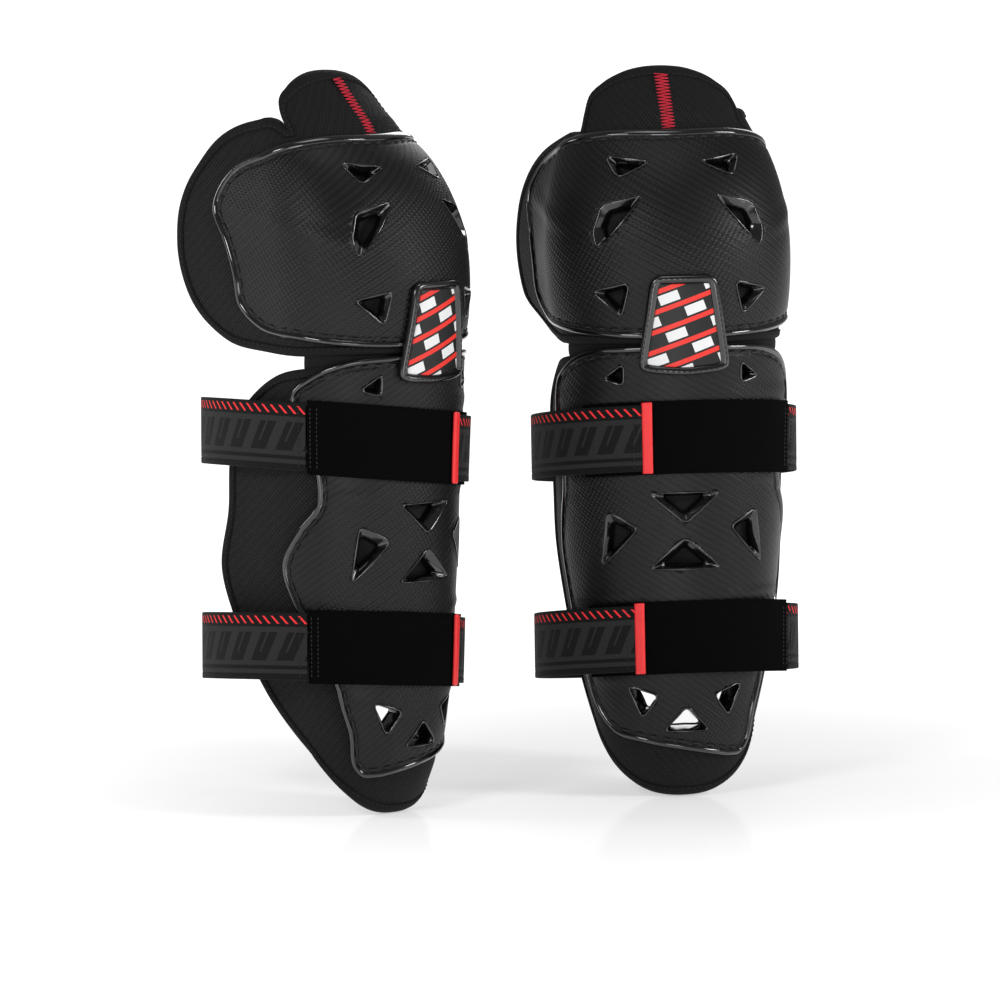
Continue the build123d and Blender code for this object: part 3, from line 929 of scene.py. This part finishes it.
def vent_rings(corners, steps):
    """Loops of a vent, a rounded polygon seen from the front.

    Each step is (share of its size, millimetres wider, depth along its mean normal).
    """
    plan = from_front(rounded_loop(corners, VENT_CORNER, VENT_POINTS), 0)
    rim = skin(plan, 0)
    normal = skin_normal(plan).mean(axis=0)
    normal = normal / np.linalg.norm(normal)
    middle = rim.mean(axis=0)
    spoke = rim - middle
    reach = np.linalg.norm(spoke, axis=1, keepdims=True)
    rings = [middle + spoke * share + spoke / reach * wider - normal * deep
             for share, wider, deep in steps]
    prints = [plan * MM] * len(steps)
    return np.array(rings), np.array(prints)


def all_vents(lists, middle=()):
    """The vents of both halves, and those of the middle."""
    return lists + [[(-x, z) for x, z in corners] for corners in lists] + list(middle)


POCKET = [
    (1.0, 0.9, -0.1), (1.0, 0.55, -0.42), (1.0, 0.0, -0.5), (0.99, -0.5, -0.1), (0.92, -0.6, 0.8),
    (0.8, -0.6, 1.9), (0.67, -0.5, 3.2), (0.58, -0.4, 4.8), (0.54, -0.3, 6.8), (0.58, 0.1, 7.1),
    (0.68, 0.1, 5.2), (0.82, 0.1, 3.4), (0.96, -0.1, 1.6), (1.0, 0.2, 0.3),
]
TUNNEL = [
    (1.0, 0.9, -0.1), (1.0, 0.55, -0.42), (1.0, 0.0, -0.5), (1.0, -0.45, -0.2), (0.98, -0.6, 0.6),
    (0.92, -0.6, 2.5), (0.84, -0.6, 5.0), (0.78, -0.5, 8.0), (0.74, -0.5, 12.6), (0.78, 0.0, 12.8),
    (0.82, 0.1, 8.0), (0.9, 0.0, 4.6), (1.0, -0.25, 1.8), (1.0, 0.2, 0.3),
]
PLUG = [(1.0, 0.3, -4.0), (1.0, 0.3, 1.2), (0.97, 0.2, 2.8), (0.8, 0.3, 5.2)]
SHELL_CUT, PAD_CUT, THROUGH_CUT = 8.6, 8.4, 20.0


def liner_mesh(name, pockets, tunnels):
    """The gloss walls of the vents: a closed profile carried round each rim."""
    points, faces, flats = [], [], []
    for corners, steps in [(c, POCKET) for c in pockets] + [(c, TUNNEL) for c in tunnels]:
        rings, prints = vent_rings(corners, steps)
        grid = np.arange(rings[..., 0].size).reshape(rings.shape[:2]) + sum(map(len, points))
        points.append(rings.reshape(-1, 3))
        flats.append(prints.reshape(-1, 2))
        faces += quads_of(grid, joined=True).tolist()
    return mesh_of(name, np.vstack(points), faces, np.vstack(flats))


def vent_cutter(name, lists, deep):
    """Tapered plugs that open each vent through a shell and into the pad under it."""
    points, faces = [], []
    for corners in lists:
        rings, _ = vent_rings(corners, PLUG + [(0.7, 0.3, deep)])
        grid = np.arange(rings[..., 0].size).reshape(rings.shape[:2]) + sum(map(len, points))
        faces += quads_of(grid).tolist() + [grid[0].tolist(), grid[-1].tolist()]
        points.append(rings.reshape(-1, 3))
    return mesh_of(name, np.vstack(points), faces)


PAD_EDGE = [(9.0, 2.9), (6.5, 3.2), (5.2, 3.9), (4.6, 5.0), (4.6, 9.5), (5.2, 10.9), (7.0, FOAM_IN)]
LINING_EDGE = [(9.0, 11.6), (6.0, 11.6), (5.0, 11.8), (4.8, 12.2), (5.4, 12.6), (7.0, 12.7)]
BINDING_PROFILE = [
    (6.0, 3.4), (5.2, 2.6), (4.2, 2.2), (2.6, 2.1), (1.3, 2.6), (0.4, 3.9), (0.0, 6.0), (0.0, 9.0),
    (0.4, 11.4), (1.3, 12.7), (2.6, 13.2), (4.4, 13.3), (5.6, 13.1), (6.2, 12.6), (5.0, 11.9),
    (4.3, 10.0), (4.3, 5.4), (4.9, 4.2),
]
PAD_STEPS, PAD_BACK_STEPS, LINING_STEPS = 34, 22, 40
PUFF_REACH, PUFF_EDGE, PUFF_FROM_SHELL, SHELL_GRIP = 26.0, 7.0, 9.0, 5.0
CHANNEL_PITCH, CHANNEL_LEAN, CHANNEL_RISE, CHANNEL_SINK = 18.0, 0.35, 1.6, 0.4


def near_shell(plan, shell):
    """How far plan points are outside a shell's outline, 0 inside it."""
    flat = plan.reshape(-1, 2)
    away = np.full(len(flat), 1e9)
    for part in np.array_split(shell, 8):
        gap = np.linalg.norm(flat[:, None] - part[None], axis=2).min(axis=1)
        away = np.minimum(away, gap)
    a, b = shell, np.roll(shell, -1, axis=0)
    over = (a[None, :, 1] > flat[:, 1:2]) != (b[None, :, 1] > flat[:, 1:2])
    rise = np.where(np.abs(b[:, 1] - a[:, 1]) < 1e-9, 1e-9, b[:, 1] - a[:, 1])
    cross = a[:, 0] + (flat[:, 1:2] - a[:, 1]) * (b[:, 0] - a[:, 0]) / rise
    inside = (np.sum(over & (flat[:, :1] < cross), axis=1) % 2).astype(bool)
    return np.where(inside, 0.0, away).reshape(plan.shape[:-1])


def draw_pad(name, loop, centre, shell, puff):
    """A pad: a closed solid over its outline, that crowns where no shell lies on it.

    Also says which of its points the cloth simulation holds still: its edge, what the
    shell lies on, and the pole of its front.
    """
    rings, prints = plan_rings(loop, centre, PAD_STEPS, level_inset, PAD_EDGE, PAD_BACK_STEPS)
    plans = prints / MM
    away = near_shell(plans, shell)
    front = PAD_STEPS - 1
    share = np.linspace(POLE_SHARE, 1, PAD_STEPS)[:-1, None]
    pull = np.zeros(rings.shape[:2])
    pull[:front] = ease(away[:front] / PUFF_FROM_SHELL) * ease((1 - share) * PUFF_REACH / PUFF_EDGE)
    rings = rings + skin_normal(plans) * (pull * puff)[..., None]
    held = np.ones(rings.shape[:2], bool)
    held[:front - 2] = away[:front - 2] < SHELL_GRIP
    held[len(PAD_EDGE) + front + 2:] = False
    return ring_mesh(name, rings, prints), np.concatenate([held.ravel(), [True, False]])


def draw_lining(name, loop, centre):
    """The lining: a thin sheet with raised channels, the root of a slanting sine's size."""
    pull = inwards(loop)
    shares = np.linspace(POLE_SHARE, 1, LINING_STEPS)
    spoke = loop + pull * LINING_EDGE[0][0] - centre
    plans = [centre + spoke * share for share in shares[:-1]]
    insets = [np.full(len(loop), LINING_EDGE[0][1])] * len(plans)
    for distance, inset in LINING_EDGE:
        plans.append(loop + pull * distance)
        insets.append(level_inset(loop, inset))
    for share in shares[::-1][1:]:
        plans.append(centre + spoke * share)
        slant = plans[-1][:, 1] + np.abs(plans[-1][:, 0]) * CHANNEL_LEAN
        channel = np.abs(np.sin(slant * pi / CHANNEL_PITCH)) ** 0.5
        fade = ease((1 - share) * 6)
        insets.append(LINING_EDGE[-1][1] + (channel * CHANNEL_RISE - CHANNEL_SINK) * fade)
    plans, insets = np.array(plans), np.array(insets)
    return ring_mesh(name, skin(plans, insets), plans * MM)


def loop_place(angle, lift, height):
    """A point of a strap loop: the further of the shell's ellipse and a free oval.

    The two distances from the loop's centre are joined by a high power sum, so that one
    runs smoothly into the other.
    """
    width, front, depth = body_at(height)
    across, along = np.sin(angle), np.cos(angle)
    wide, deep = width + lift, depth + lift
    ahead = LOOP_CENTRE - front - depth
    square = (across / wide) ** 2 + (along / deep) ** 2
    linear = ahead * along / deep ** 2
    rest = (ahead / deep) ** 2 - 1
    on_shell = (linear + np.sqrt(linear ** 2 - square * rest)) / square
    free_depth = np.where(along > 0, LOOP_FRONT, LOOP_BACK)
    free = 1 / np.hypot(across / (LOOP_HALF_WIDTH + lift), along / (free_depth + lift))
    reach = (on_shell ** LOOP_BLEND + free ** LOOP_BLEND) ** (1 / LOOP_BLEND)
    return reach * across, LOOP_CENTRE - reach * along


def strap_point(angle, lift, edge, middle, normal):
    """A strap's point at an angle, a lift and a distance up from its leaning middle plane.

    The height and the place round the loop depend on each other, so they are worked out
    in turn three times.
    """
    front = body_at(middle)[1]
    height = middle + edge
    for _ in range(3):
        x, y = loop_place(angle, lift, height)
        height = middle + (edge - x * normal.x - (y - front) * normal.y) / normal.z
    return np.stack(np.broadcast_arrays(x, y, height), axis=-1)


def strap_mesh(name, span, lifts, section, middle, normal, ribs=(), step=1.3, tip=0.25):
    """A strip carried along its loop over a span of degrees: a flat section, round at its edges.

    The outer face may have grooves at given heights. The section thins over the last
    degrees at each end.
    """
    thick, tall = section
    count = max(8, int(abs(span[1] - span[0]) / step))
    ends = np.array([0.0, tip, tip * 2.5])
    between = np.linspace(span[0] + 1, span[1] - 1, count)
    degrees = np.concatenate([span[0] + ends, between, span[1] - ends[::-1]])
    fat = np.concatenate([[0.25, 0.7, 0.95], np.ones(count), [0.95, 0.7, 0.25]])
    share = (degrees - span[0]) / (span[1] - span[0])
    lift = lifts[0] + share * (lifts[1] - lifts[0])
    half = tall / 2
    out = half * np.sin(np.linspace(-pi / 2, pi / 2, 45))
    round_off = np.sqrt(1 - np.clip((np.abs(out) - half + thick / 2) / (thick / 2), 0, 1) ** 2)
    crown = thick / 2 * round_off
    for at, width, deep in ribs:
        crown = crown - deep * bump(out, at, width)
    edge = np.concatenate([out, out[::-1][1:-1]])
    rise = np.concatenate([crown, -thick / 2 * round_off[::-1][1:-1]])
    angle = np.radians(degrees)[:, None]
    lifted = lift[:, None] + thick / 2 + rise[None] * fat[:, None]
    rings = strap_point(angle, lifted, edge[None] * (0.985 + 0.015 * fat[:, None]), middle, normal)
    centre = strap_point(np.radians(degrees), lift, np.zeros(len(degrees)), middle, normal)
    run = np.concatenate([[0], np.cumsum(np.linalg.norm(np.diff(centre, axis=0), axis=1))])
    prints = np.stack(np.broadcast_arrays(run[:, None], edge[None]), axis=-1) * MM
    return ring_mesh(name, rings, prints)


def strap_stitches(name, angles, edges, lift, middle, normal):
    """Stitches between pairs of strap points, at given angles and heights."""
    ends, outward = (
        strap_point(np.radians(angles), np.full(angles.shape, at), edges, middle, normal)
        for at in (lift, lift + 1)
    )
    return thread(name, ends, (outward - ends).mean(axis=1), STRAP_STITCH_RADIUS)


# ============ settings ============
def colour_setting(name, description, default):
    return bpy.props.FloatVectorProperty(
        name=name, description=description, default=default, subtype="COLOR", min=0, max=1
    )


def length_setting(name, description, default):
    return bpy.props.FloatProperty(
        name=name, description=description, default=default, unit="LENGTH", min=0
    )


class ShellSettings(bpy.types.PropertyGroup):
    colour: colour_setting("Shell", "Colour of the moulded shells", (0.0068, 0.007, 0.0074))
    lip_colour: colour_setting("Lip", "Colour of the gloss lip and vents", (0.0028, 0.0028, 0.003))
    stitch_pitch: length_setting("Stitch pitch", "From one shell stitch to the next", 0.009)


class PadSettings(bpy.types.PropertyGroup):
    cover_colour: colour_setting("Cover", "Colour of the mesh cloth", (0.0042, 0.0042, 0.0045))
    binding_colour: colour_setting("Binding", "Colour of the edge binding", (0.0075, 0.0075, 0.008))
    lining_colour: colour_setting("Lining", "Colour of the lining", (0.011, 0.011, 0.0115))
    seam_colour: colour_setting("Seam", "Colour of the zigzag seam", (0.46, 0.009, 0.027))
    puff: length_setting("Puff", "How far the pads crown where they are free", 0.0022)
    stitch_pitch: length_setting("Stitch pitch", "From one pad stitch to the next", 0.0036)


class StrapSettings(bpy.types.PropertyGroup):
    elastic_colour: colour_setting("Elastic", "Colour of its field", (0.021, 0.021, 0.0215))
    mark_colour: colour_setting("Dashes", "Colour of the elastic's dashes", (0.7, 0.03, 0.035))
    pile_colour: colour_setting("Loop pile", "Colour of the strap panels", (0.0015, 0.0015, 0.0017))
    tab_colour: colour_setting("Tab", "Colour of the end tabs", (0.66, 0.022, 0.024))


class BadgeSettings(bpy.types.PropertyGroup):
    rim_colour: colour_setting("Rim", "Colour of the rubber rim", (0.0022, 0.0022, 0.0024))
    face_colour: colour_setting("Face", "Colour of the badge's face", (0.005, 0.005, 0.0053))
    stripe_colour: colour_setting("Stripes", "Colour of the slanting stripes", (0.62, 0.026, 0.018))
    block_colour: colour_setting("Blocks", "Colour of the pale blocks", (0.6, 0.6, 0.6))


class StageSettings(bpy.types.PropertyGroup):
    floor_colour: colour_setting("Floor", "Colour of the floor", (0.93, 0.93, 0.93))
    light: bpy.props.FloatProperty(
        name="Light", description="Strength of the studio lights", default=1.0, min=0
    )
    distance: length_setting("Distance", "From the camera to the guards", 3.5)
    elevation: bpy.props.FloatProperty(
        name="Elevation", description="Angle that the camera looks down by",
        default=radians(6.0), subtype="ANGLE",
    )
    lens: bpy.props.FloatProperty(
        name="Lens", description="Focal length in millimetres", default=208.0, min=10
    )


class GuardSettings(bpy.types.PropertyGroup):
    shell: bpy.props.PointerProperty(type=ShellSettings, name="Shells", description="Hard shells")
    pad: bpy.props.PointerProperty(type=PadSettings, name="Pads", description="Padded bodies")
    strap: bpy.props.PointerProperty(type=StrapSettings, name="Straps", description="Straps")
    badge: bpy.props.PointerProperty(type=BadgeSettings, name="Badges", description="Badges")
    stage: bpy.props.PointerProperty(type=StageSettings, name="Stage", description="Stage")


# ============ operators ============
class GUARDS_OT_shells(bpy.types.Operator):
    """Build the knee and shin shells with their lips, stitched channels and vents"""

    bl_idname = "guards.shells"
    bl_label = "Shells"

    def execute(self, context):
        shin_vents = all_vents(SHIN_VENTS, SHIN_MIDDLE_VENTS)
        knee_cut = vent_cutter("knee_cut", all_vents(KNEE_VENTS), SHELL_CUT)
        shin_cut = vent_cutter("shin_cut", shin_vents + THROUGH_VENTS, SHELL_CUT)
        knee = cut(draw_shell("knee_shell", knee_shell_loop(), KNEE_CENTRE, crease), knee_cut)
        shin = cut(draw_shell("shin_shell", shin_shell_loop(), SHIN_CENTRE, ledge), shin_cut)
        knee_walls = liner_mesh("knee_vents", all_vents(KNEE_VENTS), [])
        shin_walls = liner_mesh("shin_vents", shin_vents, THROUGH_VENTS)
        finishes = [finish_named("shell"), finish_named("lip")]
        for side in SIDES:
            piece(side, "knee_shell", knee, finishes, ["knee_shell"], "knee")
            piece(side, "shin_shell", shin, finishes, ["shin_shell"], "shin")
            piece(side, "knee_vents", knee_walls, [finish_named("vent")], (), "knee")
            piece(side, "shin_vents", shin_walls, [finish_named("vent")], (), "shin")
        return {"FINISHED"}


class GUARDS_OT_pads(bpy.types.Operator):
    """Build the padded bodies: puffed covers, edge bindings and quilted linings"""

    bl_idname = "guards.pads"
    bl_label = "Pads"

    def execute(self, context):
        puff = context.scene.knee_guards.pad.puff / MM
        parts = {
            "knee": (knee_pad_loop(), KNEE_CENTRE, knee_shell_loop(), all_vents(KNEE_VENTS), []),
            "shin": (shin_pad_loop(), SHIN_CENTRE, shin_shell_loop(),
                     all_vents(SHIN_VENTS, SHIN_MIDDLE_VENTS), THROUGH_VENTS),
        }
        for area, (loop, centre, shell, pockets, tunnels) in parts.items():
            pad, held = draw_pad(f"{area}_pad", loop, centre, shell, puff)
            lining = draw_lining(f"{area}_lining", loop, centre)
            pad = swell(pad, held)
            pad = cut(pad, vent_cutter("pockets", pockets, PAD_CUT))
            if tunnels:
                pad = cut(pad, vent_cutter("tunnels", tunnels, THROUGH_CUT))
                lining = cut(lining, vent_cutter("tunnels", tunnels, THROUGH_CUT))
            binding = ring_mesh(f"{area}_binding", *loop_tube(loop, BINDING_PROFILE), joined=True)
            for side in SIDES:
                body = piece(side, f"{area}_pad", pad, [finish_named("cover")],
                             [f"{area}_cover", f"{area}_foam"], area)
                piece(side, f"{area}_lining", lining, [finish_named("lining")],
                      [f"{area}_lining"], area)
                piece(side, f"{area}_binding", binding, [finish_named("binding")],
                      [f"{area}_binding"], area)
        return {"FINISHED"}


GUSSET_REACH, GUSSET_HEIGHT, GUSSET_HALF_TALL = 86.0, 275.7, 5.2
GUSSET_INSET, GUSSET_HALF_THICK = 7.8, 3.4
GUSSET_BEND = ("shin", "knee", (0, 6, 271.5), (0, 6, 280.5))


class GUARDS_OT_gussets(bpy.types.Operator):
    """Build the padded neck between the knee cup and the shin shell"""

    bl_idname = "guards.gussets"
    bl_label = "Gussets"

    def execute(self, context):
        across = np.linspace(-GUSSET_REACH, GUSSET_REACH, 90)
        turn = np.linspace(0, 2 * pi, 33)[:-1]
        height = GUSSET_HEIGHT + GUSSET_HALF_TALL * np.sin(turn)
        square = np.sign(np.cos(turn)) * np.abs(np.cos(turn)) ** 0.4
        inset = GUSSET_INSET - GUSSET_HALF_THICK * square
        plan = np.stack(np.broadcast_arrays(across[:, None], height[None]), axis=-1)
        rings = skin(plan, np.broadcast_to(inset, plan.shape[:2]))
        neck = ring_mesh("knee_gusset", rings, plan * MM)
        for side in SIDES:
            body = piece(side, "knee_gusset", neck, [finish_named("gusset")],
                         ["knee_gusset"], bends=GUSSET_BEND)
        return {"FINISHED"}


BADGE_PROFILE = [
    (0.0, -0.3), (0.0, -1.6), (0.3, -3.0), (0.9, -4.0), (1.8, -4.5), (2.8, -4.5), (3.6, -4.1),
    (4.2, -3.4), (4.8, -2.9), (5.1, -2.2), (5.1, -0.9), (5.0, -0.3),
]
BADGE_FACE_EDGE = [(5.2, -2.6), (4.9, -2.3), (4.9, -0.9), (5.2, -0.6)]
BADGE_CENTRE, BADGE_CORNER = np.array([0.0, 292.0]), 7.5
BADGE_BEND = ("shin", "knee", (0, 6, 274.0), (0, 6, 290.0))


class GUARDS_OT_badges(bpy.types.Operator):
    """Build the rubber-rimmed badges that bridge the two shells"""

    bl_idname = "guards.badges"
    bl_label = "Badges"

    def execute(self, context):
        loop = from_front(rounded_loop(BADGE_FRONT, BADGE_CORNER, 200), 0)
        frame_mesh = ring_mesh("badge_frame", *loop_tube(loop, BADGE_PROFILE), joined=True)
        rings, prints = plan_rings(loop, BADGE_CENTRE, 26, level_inset, BADGE_FACE_EDGE, 6)
        width = body_at(prints[..., 1] / MM)[0]
        prints = np.stack([np.sin(prints[..., 0] / MM / QUARTER * pi / 2) * width * MM,
                           prints[..., 1] - BADGE_CENTRE[1] * MM], axis=-1)
        face = ring_mesh("badge_face", rings, prints)
        stitch = sewn_edge("badge_stitches", loop, BADGE_PITCH, BADGE_STITCH)
        for side in SIDES:
            piece(side, "badge_frame", frame_mesh, [finish_named("rubber")],
                  ["badge_frame"], bends=BADGE_BEND)
            piece(side, "badge_face", face, [finish_named("badge")], ["badge_face"],
                  bends=BADGE_BEND, turned=True)
            piece(side, "badge_stitches", stitch, [finish_named("black_thread")],
                  bends=BADGE_BEND)
        return {"FINISHED"}


# ---- sewing of a strap: degrees of its rows (END_ROW before the tab), and their lifts ----
END_ROW, END_ROW_LIFT = 3.6, 4.5
BOX_ROWS, BOX_LIFT = (56.8, 59.6, 64.6), 2.1


class GUARDS_OT_straps(bpy.types.Operator):
    """Build the straps: pile panels, elastic loops, free ends, hook patches and tabs"""

    bl_idname = "guards.straps"
    bl_label = "Straps"

    def execute(self, context):
        for side in SIDES:
            for level, middle in LEVELS.items():
                self.strap(side, level, middle, strap_normal(side, level))
        return {"FINISHED"}

    def strap(self, side, level, middle, normal):
        """One strap, from its panel round the back to its free end."""
        tab = TAB_MIDDLE[level]
        start, end = tab - TAB_ANGLE / 2, tab + TAB_ANGLE / 2
        whole = BAND_WHOLE[1] - BAND_WHOLE[0]
        low, high = BAND_LIFTS
        split_lift = low + (high - low) * (BAND_SPAN[1] - BAND_SPAN[0]) / whole
        place = (middle, normal)
        panel = strap_mesh("panel", PANEL_SPAN, (PANEL_LIFT, PANEL_LIFT), PANEL_SECTION, *place,
                           ribs=PANEL_RIBS)
        band = strap_mesh("band", BAND_SPAN, (low, split_lift), ELASTIC_SECTION, *place,
                          ribs=ELASTIC_RIBS, tip=0.05)
        free = strap_mesh("free", (END_FROM, start + 0.5), (split_lift, high), ELASTIC_SECTION,
                          *place, ribs=ELASTIC_RIBS, tip=0.05)
        patch = strap_mesh("patch", (PATCH_FROM, start - 1), (PATCH_LIFT, PATCH_LIFT),
                           PATCH_SECTION, *place)
        bar = strap_mesh("tab", (start, end), (TAB_LIFT, TAB_LIFT), TAB_SECTION, *place,
                         ribs=TAB_RIBS, step=0.3, tip=0.3)
        name, body = f"{level}_", f"{level}_strap_end"
        root, tip = (
            tuple(strap_point(np.radians(angle), BEND_LIFT, 0.0, *place)) for angle in FREE_BEND
        )
        piece(side, name + "panel", panel, [finish_named("pile")],
              [name + "loop_panel"], "shin")
        piece(side, name + "band", band, [finish_named("elastic")],
              [name + "band"], "shin", turned=True)
        piece(side, name + "free_end", free, [finish_named("elastic")],
              [name + "free_end"], bends=("shin", body, root, tip), turned=True)
        piece(side, name + "hook_patch", patch, [finish_named("hook")],
              [name + "hook_patch"], body)
        piece(side, name + "end_tab", bar, [finish_named("tab")], [name + "end_tab"], body)
        self.sew(side, name, body, start, place)

    def sew(self, side, name, body, start, place):
        """The strap's sewing: a row before the tab, and a box where the elastic is sewn on."""
        foot = np.arange(-18.0, 18.0, STRAP_STITCH_PITCH)
        row = np.stack([foot, foot + STRAP_STITCH_LENGTH], axis=-1)
        for seam, angles, lift, rides in (
            ("end_stitches", (start - END_ROW,), END_ROW_LIFT, body),
            ("box_stitches", BOX_ROWS, BOX_LIFT, "shin"),
        ):
            edges = np.vstack([row] * len(angles))
            spots = np.repeat(angles, len(foot))[:, None] * np.ones((1, 2))
            sewn = strap_stitches(seam, spots, edges, lift, *place)
            piece(side, name + seam, sewn, [finish_named("pad_thread")], (), rides)


class GUARDS_OT_threads(bpy.types.Operator):
    """Sew the shells' channels, the pads' edges and the red zigzag seam of the flaps"""

    bl_idname = "guards.threads"
    bl_label = "Threads"

    def execute(self, context):
        look = context.scene.knee_guards
        shell, pad = look.shell.stitch_pitch / MM, look.pad.stitch_pitch / MM
        made = [
            ("knee", "shell_stitches", "black_thread", knee_shell_loop(), shell, SHELL_STITCH),
            ("shin", "shell_stitches", "black_thread", shin_shell_loop(), shell, SHELL_STITCH),
            ("knee", "pad_stitches", "pad_thread", knee_pad_loop(), pad, PAD_STITCH),
            ("shin", "pad_stitches", "pad_thread", shin_pad_loop(), pad, PAD_STITCH),
        ]
        for area, name, finish, loop, pitch, stitch in made:
            mesh = sewn_edge(name, loop, pitch, stitch)
            for side in SIDES:
                piece(side, f"{area}_{name}", mesh, [finish_named(finish)], (), area)
        zigzag = self.zigzag(look.pad.puff / MM)
        for side in SIDES:
            piece(side, "knee_flap_seam", zigzag, [finish_named("red_thread")], (), "knee")
        return {"FINISHED"}

    def zigzag(self, puff):
        """The flap's seam: it crosses its middle line at every step, on top of the puff."""
        heights = np.arange(*SEAM_SPAN, SEAM_STEP)
        across = from_front([(SEAM_HALF, z) for z in heights], COVER_OUT)[:, 0]
        across = across * np.where(np.arange(len(heights)) % 2, 1, -1)
        corners = np.stack([across, heights], axis=-1)
        crown = ease((heights - 408) / PUFF_FROM_SHELL) * ease((446 - heights) / PUFF_EDGE)
        points = skin(corners, COVER_OUT - 0.25 - puff * crown)
        normals = skin_normal((corners[:-1] + corners[1:]) / 2)
        lines = np.stack([points[:-1], points[1:]], axis=1)
        return thread("zigzag", lines, normals, SEAM_RADIUS, SEAM_DIP)


FLOOR_HALF = 60.0
# painted glow of the floor: its strength near the guards, and the distances in metres from the
# floor's middle over which it rises to full white
GLOW_NEAR, GLOW_REACH = 0.42, (0.1, 0.9)
WORLD_LIGHT = 0.22
# lamps: name, place from the middle of the guards, size in metres, power
LAMPS = (
    ("key", (-0.8, -1.6, 0.9), 0.5, 14.0),
    ("top", (0.1, -0.1, 1.4), 0.5, 2.5),
    ("left", (-1.4, -0.1, 0.5), 0.4, 5.5),
    ("right", (1.4, -0.5, 0.6), 0.4, 13.0),
    ("low", (0.3, -1.6, -0.05), 0.5, 4.0),
    ("back", (0.3, 1.7, 0.8), 0.7, 5.0),
)
CAMERA_TARGET = Vector((-0.1061, -0.0793, 0.186))
SENSOR_WIDTH = 36.0


class GUARDS_OT_stage(bpy.types.Operator):
    """Set the floor, the lights and the camera"""

    bl_idname = "guards.stage"
    bl_label = "Stage"

    def execute(self, context):
        look = context.scene.knee_guards.stage
        half = FLOOR_HALF
        corners = [(-half, -half, 0), (half, -half, 0), (half, half, 0), (-half, half, 0)]
        floor_mesh = bpy.data.meshes.new("floor")
        floor_mesh.from_pydata(corners, [], [(0, 1, 2, 3)])
        floor_mesh.materials.append(pale_glowing_floor(look.floor_colour))
        floor = bpy.data.objects.new("floor", floor_mesh)
        context.scene.collection.objects.link(floor)
        world = bpy.data.worlds.new("studio")
        world.use_nodes = True
        nodes, links = world.node_tree.nodes, world.node_tree.links
        ambient, seen = nodes["Background"], nodes.new("ShaderNodeBackground")
        for back, strength in ((ambient, WORLD_LIGHT * look.light), (seen, 1.0)):
            back.inputs["Color"].default_value = (1, 1, 1, 1)
            back.inputs["Strength"].default_value = strength
        rays, both = nodes.new("ShaderNodeLightPath"), nodes.new("ShaderNodeMixShader")
        links.new(rays.outputs["Is Camera Ray"], both.inputs["Fac"])
        links.new(ambient.outputs["Background"], both.inputs[1])
        links.new(seen.outputs["Background"], both.inputs[2])
        links.new(both.outputs["Shader"], nodes["World Output"].inputs["Surface"])
        context.scene.world = world
        context.scene.view_settings.view_transform = "Standard"
        middle = (Vector(CAD_BOX[0]) + Vector(CAD_BOX[1])) / 2
        for name, place, size, power in LAMPS:
            lamp = bpy.data.lights.new(name, "AREA")
            lamp.shape, lamp.size, lamp.energy = "SQUARE", size, power * look.light
            thing = bpy.data.objects.new(name, lamp)
            thing.location = middle + Vector(place)
            thing.rotation_euler = (middle - thing.location).to_track_quat("-Z", "Y").to_euler()
            context.scene.collection.objects.link(thing)
        lens = bpy.data.cameras.new("camera")
        lens.lens, lens.sensor_width = look.lens, SENSOR_WIDTH
        lens.clip_start, lens.clip_end = 0.1, 200.0
        camera = bpy.data.objects.new("camera", lens)
        back_off = Vector((0, -np.cos(look.elevation), np.sin(look.elevation)))
        camera.location = CAMERA_TARGET + back_off * look.distance
        camera.rotation_euler = (-back_off).to_track_quat("-Z", "Y").to_euler()
        context.scene.collection.objects.link(camera)
        context.scene.camera = camera
        return {"FINISHED"}


class GUARDS_PT_panel(bpy.types.Panel):
    """The guards' operators and settings"""

    bl_idname = "GUARDS_PT_panel"
    bl_label = "Knee and shin guards"
    bl_space_type = "VIEW_3D"
    bl_region_type = "UI"
    bl_category = "Guards"

    def draw(self, context):
        look = context.scene.knee_guards
        for step in STEPS:
            self.layout.operator(step.bl_idname)
        for group in (look.shell, look.pad, look.strap, look.badge, look.stage):
            box = self.layout.box()
            for name in group.__annotations__:
                box.prop(group, name)


STEPS = (
    GUARDS_OT_stage, GUARDS_OT_shells, GUARDS_OT_pads, GUARDS_OT_gussets, GUARDS_OT_badges,
    GUARDS_OT_straps, GUARDS_OT_threads,
)
CLASSES = (
    ShellSettings, PadSettings, StrapSettings, BadgeSettings, StageSettings, GuardSettings,
    *STEPS, GUARDS_PT_panel,
)


def register():
    for made in CLASSES:
        bpy.utils.register_class(made)
    bpy.types.Scene.knee_guards = bpy.props.PointerProperty(
        type=GuardSettings, name="Knee guards", description="Sizes and colours of the guards"
    )


def unregister():
    del bpy.types.Scene.knee_guards
    for made in reversed(CLASSES):
        bpy.utils.unregister_class(made)


def main():
    register()
    for step in STEPS:
        group, name = step.bl_idname.split(".")
        getattr(getattr(bpy.ops, group), name)()


if __name__ == "__main__":
    main()
